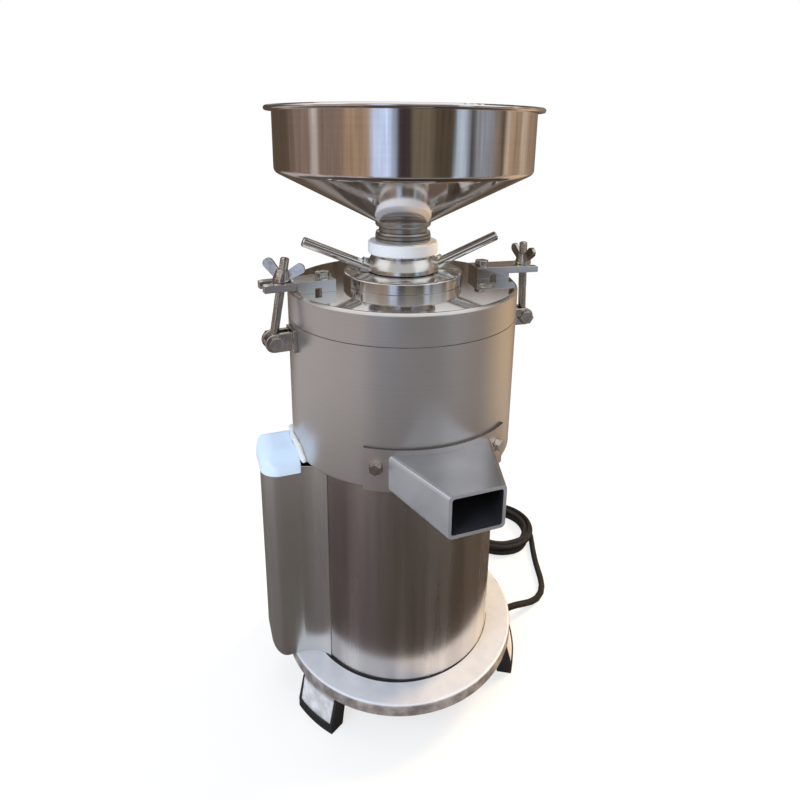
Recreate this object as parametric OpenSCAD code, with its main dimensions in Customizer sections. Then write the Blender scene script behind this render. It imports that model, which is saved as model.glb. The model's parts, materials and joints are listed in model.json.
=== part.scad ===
// Vertical stone mill for wet grinding: hopper, adjustable stones, motor housing and cast base.
// Millimetres, +Z up. The origin is on the floor, on the motor's axis. The spout points along -Y.

/* [Base] */
// Outer diameter of the cast base
base_d = 261; // [240:1:290]
// Height of the base rim
base_rim_h = 14.5; // [12:0.5:22]
// Thickness of the base plate inside the rim
base_plate_t = 8; // [5:0.5:10]
// Thickness of the base rim
base_rim_t = 10; // [7:0.5:14]
// Diameter of the air opening in the base plate
base_opening_d = 150; // [120:1:156]
// Height of the rim's lower edge above the floor
leg_h = 36.5; // [32:0.5:60]
// Width of a leg along the rim
leg_w = 44; // [30:1:50]
// Radial thickness of a leg
leg_t = 11; // [8:0.5:14]
// How far a leg flares outwards at its foot
leg_flare = 5; // [0:0.5:10]
// Wall of the rubber shoe on a leg
shoe_t = 3; // [2:0.25:4]
// Thickness of the rubber under a leg
shoe_sole = 9; // [6:0.5:14]

/* [Motor housing] */
// Outer diameter of the motor shell
shell_d = 205; // [196:1:220]
// Height of the motor shell
shell_h = 231; // [222:1:260]
// Sheet thickness of the motor shell
shell_t = 1.5; // [1:0.1:2.5]
// Depth of the side box beyond the shell
box_depth = 47.5; // [44:0.5:60]
// Width of the side box
box_w = 56; // [50:1:70]
// Radius of the side box's outer vertical corners
box_corner_r = 16; // [10:1:20]
// Radius of the hollow between side box and shell
box_fillet_r = 30; // [16:1:34]
// Radius of the side box's lower corner
box_lower_r = 16; // [10:1:22]
// Sheet thickness of the side box
box_t = 1.5; // [1:0.1:2.5]
// Wall of the plastic cap on the side box
cap_t = 2.5; // [1.5:0.1:3.5]
// How far the cap reaches down over the side box
cap_skirt = 13; // [11:0.5:20]
// Height of the cap above the side box
cap_rise = 9.5; // [9:0.5:20]
// Radius of the cap's upper edges
cap_edge_r = 16; // [10:0.5:18]
// Thickness of the seal between cap and chamber
cap_seal_t = 3; // [2:0.25:4]
// Height of the seal's lip above the cap
cap_seal_lip = 6; // [3:0.5:9]

/* [Motor] */
// Diameter of the motor shaft
shaft_d = 25; // [20:1:28]
// Outer diameter of the stator core
stator_d = 144; // [136:1:160]
// Diameter of the rotor core
rotor_d = 89; // [84:1:92]
// Air gap between rotor and stator
air_gap = 0.4; // [0.3:0.05:0.8]
// Height of the laminated stack
stack_h = 90; // [70:1:100]
// Thickness of the upper end bell's plate
upper_bell_t = 16; // [15.5:0.5:20]
// Thickness of the lower end bell's plate
lower_bell_t = 8; // [6:0.5:10]
// Wall of the end bells' skirts
bell_wall = 7.5; // [6:0.5:9]
// Outer diameter of the ball bearings
bearing_d = 52; // [48:1:60]
// Width of the ball bearings
bearing_w = 15; // [12:0.5:15]
// Diameter of the start capacitor
capacitor_d = 38; // [30:1:40]
// Height of the start capacitor
capacitor_h = 80; // [60:1:100]

/* [Grinding chamber] */
// Outer diameter of the chamber and lid
chamber_d = 230; // [226:1:240]
// Height of the chamber up to the lid's joint
chamber_h = 136.5; // [132:0.5:160]
// Wall of the chamber
chamber_t = 3; // [2:0.25:4]
// Thickness of the chamber floor
floor_t = 10; // [9:0.5:12]
// Thickness of the gasket under the lid
lid_gasket_t = 0.5; // [0.3:0.1:1.5]
// Height of the lid
lid_h = 30; // [26:0.5:40]
// Thickness of the lid's top
lid_t = 7; // [6:0.5:10]
// Wall of the lid's skirt
lid_skirt_t = 5; // [4:0.25:7]
// Chamfer of the lid's top edge
lid_chamfer = 2.5; // [1:0.25:4]
// Diameter of the boss on the lid
boss_d = 120; // [116:1:124]
// Height of the boss on the lid
boss_h = 11; // [10:0.5:16]
// Diameter of the two blind lifting holes in the lid
lift_hole_d = 16; // [10:0.5:18]

/* [Stones and feed] */
// Diameter of the grindstones
stone_d = 130; // [110:1:150]
// Thickness of a grindstone
stone_h = 32; // [26:0.5:34]
// Gap between the stones at the finest setting
stone_gap = 0.5; // [0.3:0.1:1]
// Lift of the upper stone for one turn of the adjuster
adjust_pitch = 3; // [1.5:0.25:4]
// Outer diameter of the threaded feed tube
feed_d = 48; // [46:0.5:50]
// Bore of the feed tube
feed_bore_d = 40; // [36:0.5:41]
// Largest diameter of the adjuster hub
hub_d = 73; // [72:0.5:80]
// Height of the adjuster hub
hub_h = 14.5; // [13:0.5:18]
// Diameter of the adjuster's handle rods
handle_d = 9.8; // [8:0.1:11]
// Distance from the axis to the end of a handle
handle_reach = 99; // [80:1:102]
// Upward tilt of the handles
handle_tilt = 23.1; // [16:0.1:26]
// Outer diameter of the nylon collar
collar_d = 69.4; // [62:0.2:74]
// Height of the nylon collar
collar_h = 12; // [10:0.5:16]

/* [Hopper] */
// Outer diameter of the hopper's wall
hopper_d = 246; // [200:1:280]
// Height of the straight wall
hopper_wall_h = 58; // [40:1:90]
// Height of the cone
hopper_cone_h = 48.5; // [40:0.5:70]
// Sheet thickness of the hopper
hopper_t = 1.2; // [1:0.1:2]
// Width of the rim beyond the wall
rim_w = 7; // [5:0.5:10]
// Diameter of the rolled edge
rim_roll_d = 4.4; // [3:0.2:5]
// Diameter of the ring on the hopper's neck
neck_ring_d = 55; // [52:0.5:60]
// Height of the ring on the hopper's neck
neck_ring_h = 10.3; // [8:0.1:14]
// Height of the waist between ring and cone
neck_waist_h = 9; // [6:0.5:14]

/* [Spout] */
// Distance from the axis to the spout's mouth
spout_reach = 180; // [160:1:210]
// Outer width of the spout at the chamber
spout_root_w = 106; // [90:1:110]
// Outer width of the spout's mouth
spout_mouth_w = 52; // [40:1:70]
// Outer height of the spout's mouth
spout_mouth_h = 40; // [34:0.5:44]
// Drop of the spout's lower edge from chamber to mouth
spout_drop = 4; // [0:0.5:8]
// Wall of the spout
spout_t = 3.25; // [2.75:0.25:4]
// Thickness of the saddle flange
saddle_t = 2; // [1.5:0.25:4]
// Height of the saddle flange
saddle_h = 42; // [40:0.5:50]
// Half of the angle that the saddle flange covers
saddle_half_angle = 37; // [35:0.5:40]
// Thickness of the gasket behind the saddle
spout_gasket_t = 0.8; // [0.5:0.1:1.5]

/* [Clamps] */
// Angle of a clamp from the spout's axis
clamp_angle = 84; // [74:1:95]
// Distance of the hinge pin from the chamber's wall
pin_offset = 19.5; // [18:0.5:24]
// Depth of the hinge pin below the lid's joint
pin_drop = 15; // [13:0.5:20]
// Diameter of the hinge pin
pin_d = 8; // [6:0.5:8]
// Diameter of the swing bolt
bolt_d = 8; // [6:0.5:8]
// Length of the swing bolt above its pin
bolt_len = 80; // [77:0.5:100]
// Inward lean of the left swing bolt as it is clamped
bolt_lean_left = 10.5; // [0:0.1:12]
// Inward lean of the right swing bolt as it is clamped
bolt_lean_right = 2.6; // [0:0.1:10]
// Width of a clamp fork
fork_w = 27; // [22:0.5:32]
// Thickness of a clamp fork
fork_t = 7; // [6:0.5:10]
// Height of the fork's bar above the lid
fork_rise = 4.5; // [3:0.5:7]
// Width of the fork's slot
fork_slot = 10; // [9.5:0.25:12]
// Span of the wing nut
wing_span = 39; // [32:0.5:42]

/* [Hidden] */
$fn = 72;

// Clearances
// Round pieces of one body that are pushed together
seat_gap = 0.1;
// Radial clearance of a shaft, pin or thread that turns or slides
run_fit = 0.05;
// Gap between pieces that move past each other
move_gap = 0.3;

// Finishes
steel = [0.72, 0.72, 0.71];
dark_steel = [0.42, 0.40, 0.38];
cast_alu = [0.80, 0.80, 0.78];
rubber_black = [0.05, 0.05, 0.05];
cap_white = [0.83, 0.89, 0.96];
nylon_white = [0.94, 0.94, 0.95];
stone_grey = [0.55, 0.53, 0.50];
copper_red = [0.72, 0.42, 0.25];

// Heights of the stack, from the floor up
rim_z = leg_h;
base_z = rim_z + base_rim_h;
chamber_z = base_z + shell_h;
floor_z = chamber_z + floor_t;
joint_z = chamber_z + chamber_h;
skirt_z = joint_z + lid_gasket_t;
lid_z = skirt_z + lid_h;
lid_under_z = lid_z - lid_t;
boss_z = lid_z + boss_h;
hub_lift = 0.5;
hub_z = boss_z + hub_lift;
hub_top_z = hub_z + hub_h;
flange_t = 2.2;
flange_z = hub_top_z + hub_lift;
collar_z = flange_z + flange_t;
collar_top_z = collar_z + collar_h;
neck_z = collar_top_z + 0.2;
waist_z = neck_z + neck_ring_h;
cone_z = waist_z + neck_waist_h;
shoulder_z = cone_z + hopper_cone_h;
rim_top_z = shoulder_z + hopper_wall_h;

// Radii that several pieces share
base_r = base_d / 2;
shell_r = shell_d / 2;
shell_in_r = shell_r - shell_t;
chamber_r = chamber_d / 2;
chamber_in_r = chamber_r - chamber_t;
shaft_r = shaft_d / 2;
feed_r = feed_d / 2;
stone_r = stone_d / 2;
bearing_r = bearing_d / 2;

// Legs stand between the spout and the back, a third of a turn apart
leg_angles = [-150, -30, 90];
leg_foot_r = base_r + leg_flare;
leg_top_r = base_r - 1;

// Strain relief and cord: the route is laid by hand, in steps from its start under the base
cord_d = 8;
cord_exit_z = 24;
cord_inset = 11;
cord_exit_angle = -13.85;
cord_start = [(base_r - cord_inset) * cos(cord_exit_angle),
    (base_r - cord_inset) * sin(cord_exit_angle), cord_exit_z];
relief_turn = 16;
relief_len = 30;
relief_r = 5.2;
relief_flange_r = 8;
relief_flange_t = 3;
lug_t = 8;
lug_w = 24;
lug_drop = 9;
function from_start(steps) = [for (p = steps) cord_start + p];
cord_route = from_start([[0, 0, 0], [12.5, 3.6, -1], [25, 7.2, -3.5], [37.5, 10.8, -7.5],
    [50, 14.4, -12.5], [62.5, 18, -17], [75, 22.6, -19.5], [86, 30.1, -19.9],
    [94.5, 40.6, -19.9], [100.5, 53.1, -19.9], [105.5, 66.6, -19.9], [110.5, 80.1, -19.9],
    [116, 93.1, -19.9], [122, 106.1, -19.9], [128.5, 119.1, -19.9], [134.5, 131.6, -19.9],
    [139.5, 145.1, -19.9]]);
plug_route = from_start([[110.5, 209.4, -11.9], [96, 214.8, -12.8], [81, 220.4, -13.6],
    [66, 226, -13.2], [52, 231.3, -11.8], [44, 234.3, -11]]);
coil_at = [cord_start[0] + 93, cord_start[1] + 162.6];
coil_mid_r = 46;
coil_layers = 2;
coil_columns = 2;
coil_play = 0.1;
tie_at = 120;
tie_w = 10;
tie_t = 1.2;
plug_turn = 159.5;
plug_r = 12.9;
plug_tail_len = 14;
plug_len = 30;
pin_blade = [6.3, 1.6, 18];

// Motor inside
stator_r = stator_d / 2;
rotor_r = rotor_d / 2;
stator_bore_r = rotor_r + air_gap;
bell_r = shell_in_r - seat_gap;
bell_skirt_r = stator_r + 2;
bell_skirt_in_r = bell_skirt_r - bell_wall;
stack_lift = 61;
stack_z = base_z + lower_bell_t + stack_lift;
stack_top_z = stack_z + stack_h;
bell_plate_z = chamber_z - upper_bell_t;
winding_h = 22;
winding_r = bell_skirt_in_r - 2.5;
bearing_cover = 3;
lower_bearing_z = base_z + bearing_cover;
upper_bearing_z = chamber_z - bearing_w;
fan_z = stack_z - winding_h - 18;
fan_r = bell_skirt_in_r - 6;
fan_blades = 9;

// Stones
lower_carrier_t = 12.5;
vane_h = 22;
vane_count = 4;
vane_z = floor_z + 3;
carrier_z = vane_z + vane_h;
lower_stone_z = carrier_z + lower_carrier_t;
upper_stone_z = lower_stone_z + stone_h + stone_gap;
upper_carrier_z = upper_stone_z + stone_h;
upper_carrier_t = 8;
nut_z = lower_stone_z + stone_h * 0.4;
step_r = shaft_r - 4;
shaft_top_z = nut_z + 11;
stone_eye_r = feed_bore_d / 2 + 1;
key_w = 6;
key_depth = 2.4;
boss_spigot_h = 17;

// Hopper and its neck
hopper_r = hopper_d / 2;
neck_bore_r = feed_bore_d / 2 + 0.5;
neck_spigot_r = feed_r - 0.7;
neck_ring_r = neck_ring_d / 2;
feed_top = 3;
spigot_len = collar_h - feed_top - 1;
shoulder_r = 6;

// Spout, its opening in the chamber wall and its saddle
saddle_in_r = chamber_r + spout_gasket_t;
saddle_r = saddle_in_r + saddle_t;
spout_root_y = sqrt(chamber_r * chamber_r - spout_root_w * spout_root_w / 4);
spout_bottom_z = chamber_z + 1;
spout_mouth_z = spout_bottom_z - spout_drop;
spout_top_z = spout_mouth_z + spout_mouth_h;
spout_corner = 4;
spout_bolt_angle = 31;
spout_bolt_lift = 24;
spout_bolt_z = chamber_z + spout_bolt_lift;
screw_d = 6;

// Clamps, in the plane through the axis and the clamp
pin_r = chamber_r + pin_offset;
pin_z = joint_z - pin_drop;
fork_z = lid_z + fork_rise;
fork_top_z = fork_z + fork_t;
spot_sink = 0.5;
function lean(side) = side == "left" ? bolt_lean_left : bolt_lean_right;
function nut_seat_h(side) = (fork_top_z - pin_z) / cos(lean(side)) - spot_sink;
function seat_r(side) = pin_r - (fork_top_z - pin_z) * tan(lean(side));
fork_in_r = boss_d / 2 + 16;
fork_screw_r = fork_in_r + 9;
fork_tip_r = pin_r + 8.5;
fork_pad_r = chamber_r - lid_chamfer - 2;
fork_pad_len = 14;
fork_screw_d = 8;
eye_r = pin_d / 2 + 4;
eye_w = 9;
ear_gap = 10;
ear_t = 4;
ear_r = eye_r + 1;
bracket_t = 3.5;
bracket_h = 22;
wing_seat = 0.15;
boss_screw_r = boss_d / 2 - 10;
boss_screw_angles = [-18, 72, 162, 252];
boss_screw_head_h = screw_d * 0.8;
boss_screw_head_r = screw_d * 0.83;
boss_screw_seat_z = boss_z - boss_screw_head_h;

// Adjuster
hub_r = hub_d / 2;
hub_neck_r = hub_r - 9;
hub_neck_h = 5.5;
handle_angle = -7;
handle_root_r = hub_r + 1;
handle_floor = 0.5;
handle_root_z = hub_z + handle_d / 2 * cos(handle_tilt) + handle_floor;
handle_len = (handle_reach - handle_root_r) / cos(handle_tilt);

// Side box and its cap
box_x = shell_r + box_depth;
flank_edge = 1;
flank_y = box_w / 2 + box_fillet_r;
flank_x = sqrt(pow(shell_r + flank_edge + box_fillet_r, 2) - flank_y * flank_y);
cap_gap = 0.2;
cap_x = box_x + cap_gap + cap_t;
cap_w = box_w + 2 * (cap_gap + cap_t);
cap_z = chamber_z - cap_skirt;
cap_top_z = chamber_z + cap_rise;
box_top_z = min(chamber_z, cap_top_z - cap_edge_r);
cap_in_r = chamber_r + cap_seal_t + 2 * cap_gap;
far = 400;

// Points of an arc, from angle a0 to angle a1
function arc(c, r, a0, a1, n = 6) =
    [for (i = [0:n]) let (a = a0 + (a1 - a0) * i / n) [c[0] + r * cos(a), c[1] + r * sin(a)]];

module ring(r_out, r_in, z0, z1) {
    difference() {
        translate([0, 0, z0]) cylinder(h = z1 - z0, r = r_out);
        translate([0, 0, z0 - 1]) cylinder(h = z1 - z0 + 2, r = r_in);
    }
}

// Keeps the part of a revolved child that lies within a width around an angle
module slice(angle, width) {
    rotate([0, 0, angle]) intersection() {
        rotate_extrude() children();
        translate([0, -width / 2, -far]) cube([far, width, 2 * far]);
    }
}

module hex_prism(across, h) {
    cylinder(h = h, r = across / sqrt(3), $fn = 6);
}

// Puts children at a point on the chamber wall, their +Z along the outward radius
module on_wall(angle, r, z) {
    rotate([0, 0, angle]) translate([r, 0, z]) rotate([0, 90, 0]) children();
}

// Puts children into a clamp's frame: +X outwards, the right clamp is the left one mirrored
module clamp_place(side) {
    if (side == "left") rotate([0, 0, -90 - clamp_angle]) children();
    else mirror([1, 0, 0]) rotate([0, 0, -90 - clamp_angle]) children();
}

// Puts children at the hinge pin, their +Z along the swing bolt
module bolt_place(side) {
    clamp_place(side) translate([pin_r, 0, pin_z]) rotate([0, -lean(side), 0]) children();
}

// Plain round tube through the points of a path
module tube(path, r, sides = 10) {
    last = len(path) - 1;
    function along(i) = path[min(i + 1, last)] - path[max(i - 1, 0)];
    function unit(v) = v / norm(v);
    function circle_at(i) =
        let (t = unit(along(i)), s = unit(cross(t, [0, 0, 1])), u = cross(s, t))
        [for (k = [0:sides - 1]) path[i] + r * (cos(360 * k / sides) * s + sin(360 * k / sides) * u)];
    points = [for (i = [0:last]) each circle_at(i)];
    walls = [for (i = [0:last - 1], k = [0:sides - 1])
        let (a = i * sides + k, b = i * sides + (k + 1) % sides)
        each [[a, a + sides, b], [b, a + sides, b + sides]]];
    caps = [[for (k = [0:sides - 1]) k], [for (k = [sides - 1:-1:0]) last * sides + k]];
    polyhedron(points = points, faces = concat(walls, caps), convexity = 8);
}

module leg_outline() {
    polygon([[leg_top_r - leg_t, rim_z + 2], [leg_top_r, rim_z + 2],
        [leg_foot_r, shoe_sole], [leg_foot_r - leg_t, shoe_sole]]);
}

// Lug under the base plate, with the strain relief's hole along +X
module relief_place() {
    translate(cord_start) rotate([0, 0, relief_turn])
        rotate([0, 90, 0]) children();
}

module base_casting() {
    edge = 3;
    color(cast_alu) difference() {
        union() {
            rotate_extrude() polygon(concat(
                [[base_opening_d / 2, base_z - base_plate_t], [base_r - base_rim_t, base_z - base_plate_t],
                [base_r - base_rim_t, rim_z]],
                arc([base_r - edge, rim_z + edge], edge, -90, 0),
                arc([base_r - edge, base_z - edge], edge, 0, 90),
                [[base_opening_d / 2, base_z]]));
            for (a = leg_angles) slice(a, leg_w) leg_outline();
            relief_place() translate([-(base_z - base_plate_t - cord_exit_z) - 1, -lug_w / 2,
                -relief_len - lug_t])
                cube([base_z - base_plate_t - cord_exit_z + 1 + lug_drop, lug_w, lug_t]);
        }
        relief_place() translate([0, 0, -far / 4]) cylinder(h = far / 4 + 1, r = relief_r + seat_gap);
    }
}

module rubber_shoe(angle) {
    lip = 2;
    top = rim_z - 0.5;
    inner = leg_foot_r - leg_t - shoe_t;
    difference() {
        slice(angle, leg_w + 2 * shoe_t)
            polygon([[inner, 0], [leg_foot_r + 1.5, 0], [leg_foot_r + 1.5, shoe_sole + lip],
                [leg_top_r + 0.5, top], [leg_top_r - leg_t - shoe_t, top]]);
        slice(angle, leg_w + 2 * seat_gap)
            polygon([[leg_top_r - leg_t - seat_gap, rim_z + 2], [leg_foot_r - leg_t - seat_gap, shoe_sole],
                [leg_foot_r + seat_gap, shoe_sole], [leg_foot_r + seat_gap, shoe_sole + lip],
                [leg_foot_r + 9, shoe_sole + lip], [leg_foot_r + 9, rim_z + 2]]);
    }
}

module rubber_feet() {
    color(rubber_black) for (a = leg_angles) rubber_shoe(a);
}

module motor_shell() {
    color(dark_steel) ring(shell_r, shell_in_r, base_z, chamber_z);
}

// Plan of a box on the -X side: straight inwards, round at its outer corners
module box_plan(reach, width, r) {
    translate([-reach + r, -width / 2]) square([reach - r, width]);
    translate([-reach, -width / 2 + r]) square([reach, width - 2 * r]);
    for (s = [-1, 1]) translate([-reach + r, s * (width / 2 - r)]) circle(r = r);
}

// Hollow flanks that lead from the side box's walls to the shell
module box_flanks(inset) {
    for (s = [-1, 1]) difference() {
        polygon([[0, 0], [-flank_x, s * (box_w / 2 - inset - 1)], [-flank_x, s * flank_y]]);
        translate([-flank_x, s * flank_y]) circle(r = box_fillet_r + inset + seat_gap);
    }
}

// Solid with the side box's plan, made smaller by an inset; its lower outer edge is round
module box_body(inset, z0, z1) {
    reach = box_x - inset;
    lower_r = box_lower_r - inset;
    intersection() {
        translate([0, 0, z0]) union() {
            linear_extrude(height = z1 - z0) box_plan(reach, box_w - 2 * inset, box_corner_r - inset);
            linear_extrude(height = z1 - z0) box_flanks(inset);
        }
        rotate([90, 0, 0]) linear_extrude(height = 2 * far, center = true) union() {
            translate([-reach, z0 + lower_r]) square([reach, z1 - z0]);
            translate([-reach + lower_r, z0]) square([reach, z1 - z0]);
            translate([-reach + lower_r, z0 + lower_r]) circle(r = lower_r);
        }
    }
}

module side_box() {
    color(dark_steel) difference() {
        box_body(0, base_z, box_top_z);
        box_body(box_t, base_z + box_t, 2 * chamber_z);
        translate([0, 0, base_z - 1]) cylinder(h = shell_h + 2, r = shell_r + seat_gap);
    }
}

// Domed solid with the box plan: its upper outer edge and both upper sides are round
module dome_body(reach, width, corner_r, edge_r, z0, z1) {
    intersection() {
        translate([0, 0, z0]) linear_extrude(height = z1 - z0) box_plan(reach, width, corner_r);
        rotate([90, 0, 0]) linear_extrude(height = 2 * far, center = true) union() {
            translate([-reach, z0]) square([reach, z1 - z0 - edge_r]);
            translate([-reach + edge_r, z0]) square([reach, z1 - z0]);
            translate([-reach + edge_r, z1 - edge_r]) circle(r = edge_r);
        }
        rotate([90, 0, 90]) linear_extrude(height = 2 * far, center = true) union() {
            translate([-width / 2, z0]) square([width, z1 - z0 - edge_r]);
            translate([-width / 2 + edge_r, z0]) square([width - 2 * edge_r, z1 - z0]);
            for (s = [-1, 1]) translate([s * (width / 2 - edge_r), z1 - edge_r]) circle(r = edge_r);
        }
    }
}

module box_cap() {
    color(cap_white) difference() {
        dome_body(cap_x, cap_w, box_corner_r + cap_t, cap_edge_r, cap_z, cap_top_z);
        dome_body(cap_x - cap_t, cap_w - 2 * cap_t, box_corner_r, cap_edge_r - cap_t,
            cap_z - 1, cap_top_z - cap_t);
        translate([0, 0, cap_z - 1]) linear_extrude(height = box_top_z - cap_z + 2) box_flanks(-cap_gap);
        translate([0, 0, cap_z - 2]) cylinder(h = far, r = cap_in_r);
    }
}

module cap_seal() {
    color(nylon_white) intersection() {
        dome_body(cap_x, cap_w + 2 * cap_seal_lip - 4, box_corner_r + cap_t,
            cap_edge_r + cap_seal_lip, cap_z, cap_top_z + cap_seal_lip);
        ring(chamber_r + cap_gap + cap_seal_t, chamber_r + cap_gap, chamber_z + cap_gap,
            cap_top_z + cap_seal_lip + 1);
        translate([-far, -far / 2, 0]) cube([far, far, 2 * far]);
    }
}

module start_capacitor() {
    r = capacitor_d / 2;
    terminal_r = 3;
    color([0.15, 0.15, 0.16]) translate([-(shell_r + move_gap + r), 0, base_z + 24]) {
        cylinder(h = capacitor_h, r = r);
        for (s = [-1, 1]) translate([0, s * r / 2, capacitor_h]) cylinder(h = 9, r = terminal_r);
    }
}

module lower_end_bell() {
    color(cast_alu) rotate_extrude() polygon([
        [shaft_r + 2, base_z], [bell_r, base_z], [bell_r, base_z + lower_bell_t],
        [bell_skirt_r, base_z + lower_bell_t], [bell_skirt_r, stack_z], [bell_skirt_in_r, stack_z],
        [bell_skirt_in_r, base_z + lower_bell_t], [bearing_r + 8, base_z + lower_bell_t],
        [bearing_r + 6, lower_bearing_z + bearing_w], [bearing_r + run_fit, lower_bearing_z + bearing_w],
        [bearing_r + run_fit, lower_bearing_z], [shaft_r + 2, lower_bearing_z]]);
}

module upper_end_bell() {
    color(cast_alu) rotate_extrude() polygon([
        [shaft_r + 2, bell_plate_z], [bell_skirt_in_r, bell_plate_z], [bell_skirt_in_r, stack_top_z],
        [bell_skirt_r, stack_top_z], [bell_skirt_r, bell_plate_z], [bell_r, bell_plate_z],
        [bell_r, chamber_z], [bearing_r + run_fit, chamber_z],
        [bearing_r + run_fit, upper_bearing_z], [shaft_r + 2, upper_bearing_z]]);
}

module stator_core() {
    color([0.35, 0.35, 0.37]) ring(stator_r, stator_bore_r, stack_z, stack_top_z);
}

module stator_winding() {
    inner = stator_bore_r + 3;
    edge = 5;
    color(copper_red) for (z = [stack_z - winding_h, stack_top_z]) rotate_extrude() polygon(concat(
        arc([inner + edge, z + edge], edge, 180, 270), arc([winding_r - edge, z + edge], edge, 270, 360),
        arc([winding_r - edge, z + winding_h - edge], edge, 0, 90),
        arc([inner + edge, z + winding_h - edge], edge, 90, 180)));
}

module bearing(z) {
    color(steel) ring(bearing_r, shaft_r + run_fit, z, z + bearing_w);
}

module lower_bearing() {
    bearing(lower_bearing_z);
}

module upper_bearing() {
    bearing(upper_bearing_z);
}

module spout_bolt_holes(r) {
    for (s = [-1, 1]) on_wall(-90 + s * spout_bolt_angle, chamber_in_r - 6, spout_bolt_z)
        cylinder(h = saddle_r - chamber_in_r + 20, r = r);
}

module grinding_chamber() {
    seal_r = shaft_r + 7.5;
    outlet_w = spout_root_w - 2 * spout_t - 8;
    outlet_h = spout_top_z - spout_t - floor_z - 1;
    foot = 2;
    color(steel) difference() {
        rotate_extrude() polygon(concat(
            [[shaft_r + 1, chamber_z]], arc([chamber_r - foot, chamber_z + foot], foot, -90, 0),
            [[chamber_r, joint_z], [chamber_in_r, joint_z], [chamber_in_r, floor_z],
            [seal_r + seat_gap / 2, floor_z], [seal_r + seat_gap / 2, chamber_z + 2],
            [shaft_r + 1, chamber_z + 2]]));
        translate([-outlet_w / 2, -chamber_r - 1, floor_z]) cube([outlet_w, chamber_r / 2, outlet_h]);
        spout_bolt_holes(screw_d / 2 + run_fit);
    }
}

module shaft_seal() {
    color(rubber_black) ring(shaft_r + 7.5, shaft_r + run_fit, chamber_z + 2, floor_z);
}

// Rectangle with round corners, one millimetre deep along -Y
module duct_section(width, z0, z1, y, r) {
    for (x = [-1, 1], z = [z0 + r, z1 - r])
        translate([x * (width / 2 - r), y, z]) rotate([90, 0, 0]) cylinder(h = 1, r = r, $fn = 32);
}

module duct(inset, extra) {
    hull() {
        duct_section(spout_root_w - 2 * inset, spout_bottom_z + inset, spout_top_z - inset,
            4 - spout_root_y + extra, spout_corner - inset / 2);
        duct_section(spout_mouth_w - 2 * inset, spout_mouth_z + inset, spout_top_z - inset,
            1 - spout_reach - extra, spout_corner - inset / 2);
    }
}

// Curved plate on the chamber wall behind the spout
module saddle_plate(r_out, r_in) {
    rotate([0, 0, -90]) intersection() {
        ring(r_out, r_in, chamber_z, chamber_z + saddle_h);
        translate([0, 0, chamber_z - 1]) linear_extrude(height = saddle_h + 2)
            polygon([[0, 0], [far, -far * tan(saddle_half_angle)], [far, far * tan(saddle_half_angle)]]);
    }
}

module spout() {
    color(steel) difference() {
        union() {
            saddle_plate(saddle_r, saddle_in_r);
            difference() {
                duct(0, 0);
                cylinder(h = 2 * far, r = saddle_in_r);
            }
        }
        duct(spout_t, 1);
        spout_bolt_holes(screw_d / 2 + run_fit);
    }
}

module spout_gasket() {
    color(rubber_black) difference() {
        saddle_plate(saddle_in_r - seat_gap / 2, chamber_r + seat_gap / 2);
        duct(spout_t, 1);
        spout_bolt_holes(screw_d / 2 + run_fit);
    }
}

module spout_bolts() {
    washer_t = 1.2;
    shank = saddle_r - chamber_in_r + 4;
    color(steel) for (s = [-1, 1]) on_wall(-90 + s * spout_bolt_angle, saddle_r + seat_gap, spout_bolt_z) {
        cylinder(h = washer_t, r = screw_d * 1.1);
        translate([0, 0, washer_t]) hex_prism(screw_d * 1.65, screw_d * 0.66);
        translate([0, 0, -shank]) cylinder(h = shank, r = screw_d / 2);
    }
}

// Clevis welded to the chamber below the lid's joint
module hinge_bracket(side) {
    color(steel) clamp_place(side) difference() {
        union() {
            translate([chamber_r - 6, -ear_gap / 2 - ear_t - 3, pin_z - bracket_h / 2])
                cube([6 + bracket_t, ear_gap + 2 * ear_t + 6, bracket_h]);
            for (s = [-1, 1]) translate([0, s * (ear_gap + ear_t) / 2, pin_z]) {
                translate([chamber_r, -ear_t / 2, -ear_r]) cube([pin_offset, ear_t, 2 * ear_r]);
                translate([pin_r, ear_t / 2, 0]) rotate([90, 0, 0]) cylinder(h = ear_t, r = ear_r);
            }
        }
        cylinder(h = far * 2, r = chamber_r + seat_gap / 2);
        translate([pin_r, far / 2, pin_z]) rotate([90, 0, 0]) cylinder(h = far, r = pin_d / 2 + run_fit);
    }
}

module hinge_bracket_left() {
    hinge_bracket("left");
}

module hinge_bracket_right() {
    hinge_bracket("right");
}

module hinge_pin(side) {
    half = ear_gap / 2 + ear_t;
    head_h = pin_d * 0.62;
    nut_h = pin_d * 0.7;
    color(steel) clamp_place(side) translate([pin_r, 0, pin_z]) rotate([-90, 0, 0]) {
        translate([0, 0, -half - nut_h - 2]) cylinder(h = 2 * half + nut_h + 2, r = pin_d / 2);
        translate([0, 0, half]) hex_prism(pin_d * 1.62, head_h);
        translate([0, 0, -half - nut_h]) hex_prism(pin_d * 1.62, nut_h);
    }
}

module hinge_pin_left() {
    hinge_pin("left");
}

module hinge_pin_right() {
    hinge_pin("right");
}

module lid_gasket() {
    color(rubber_black) ring(chamber_r - seat_gap, chamber_in_r, joint_z, skirt_z);
}

module boss_screw_holes(r) {
    for (a = boss_screw_angles) rotate([0, 0, a]) translate([boss_screw_r, 0, lid_under_z + 1.5])
        cylinder(h = far, r = r);
}

module fork_screw_holes(r) {
    for (s = ["left", "right"]) clamp_place(s) translate([fork_screw_r, 0, lid_under_z + 1.5])
        cylinder(h = far, r = r);
}

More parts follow.
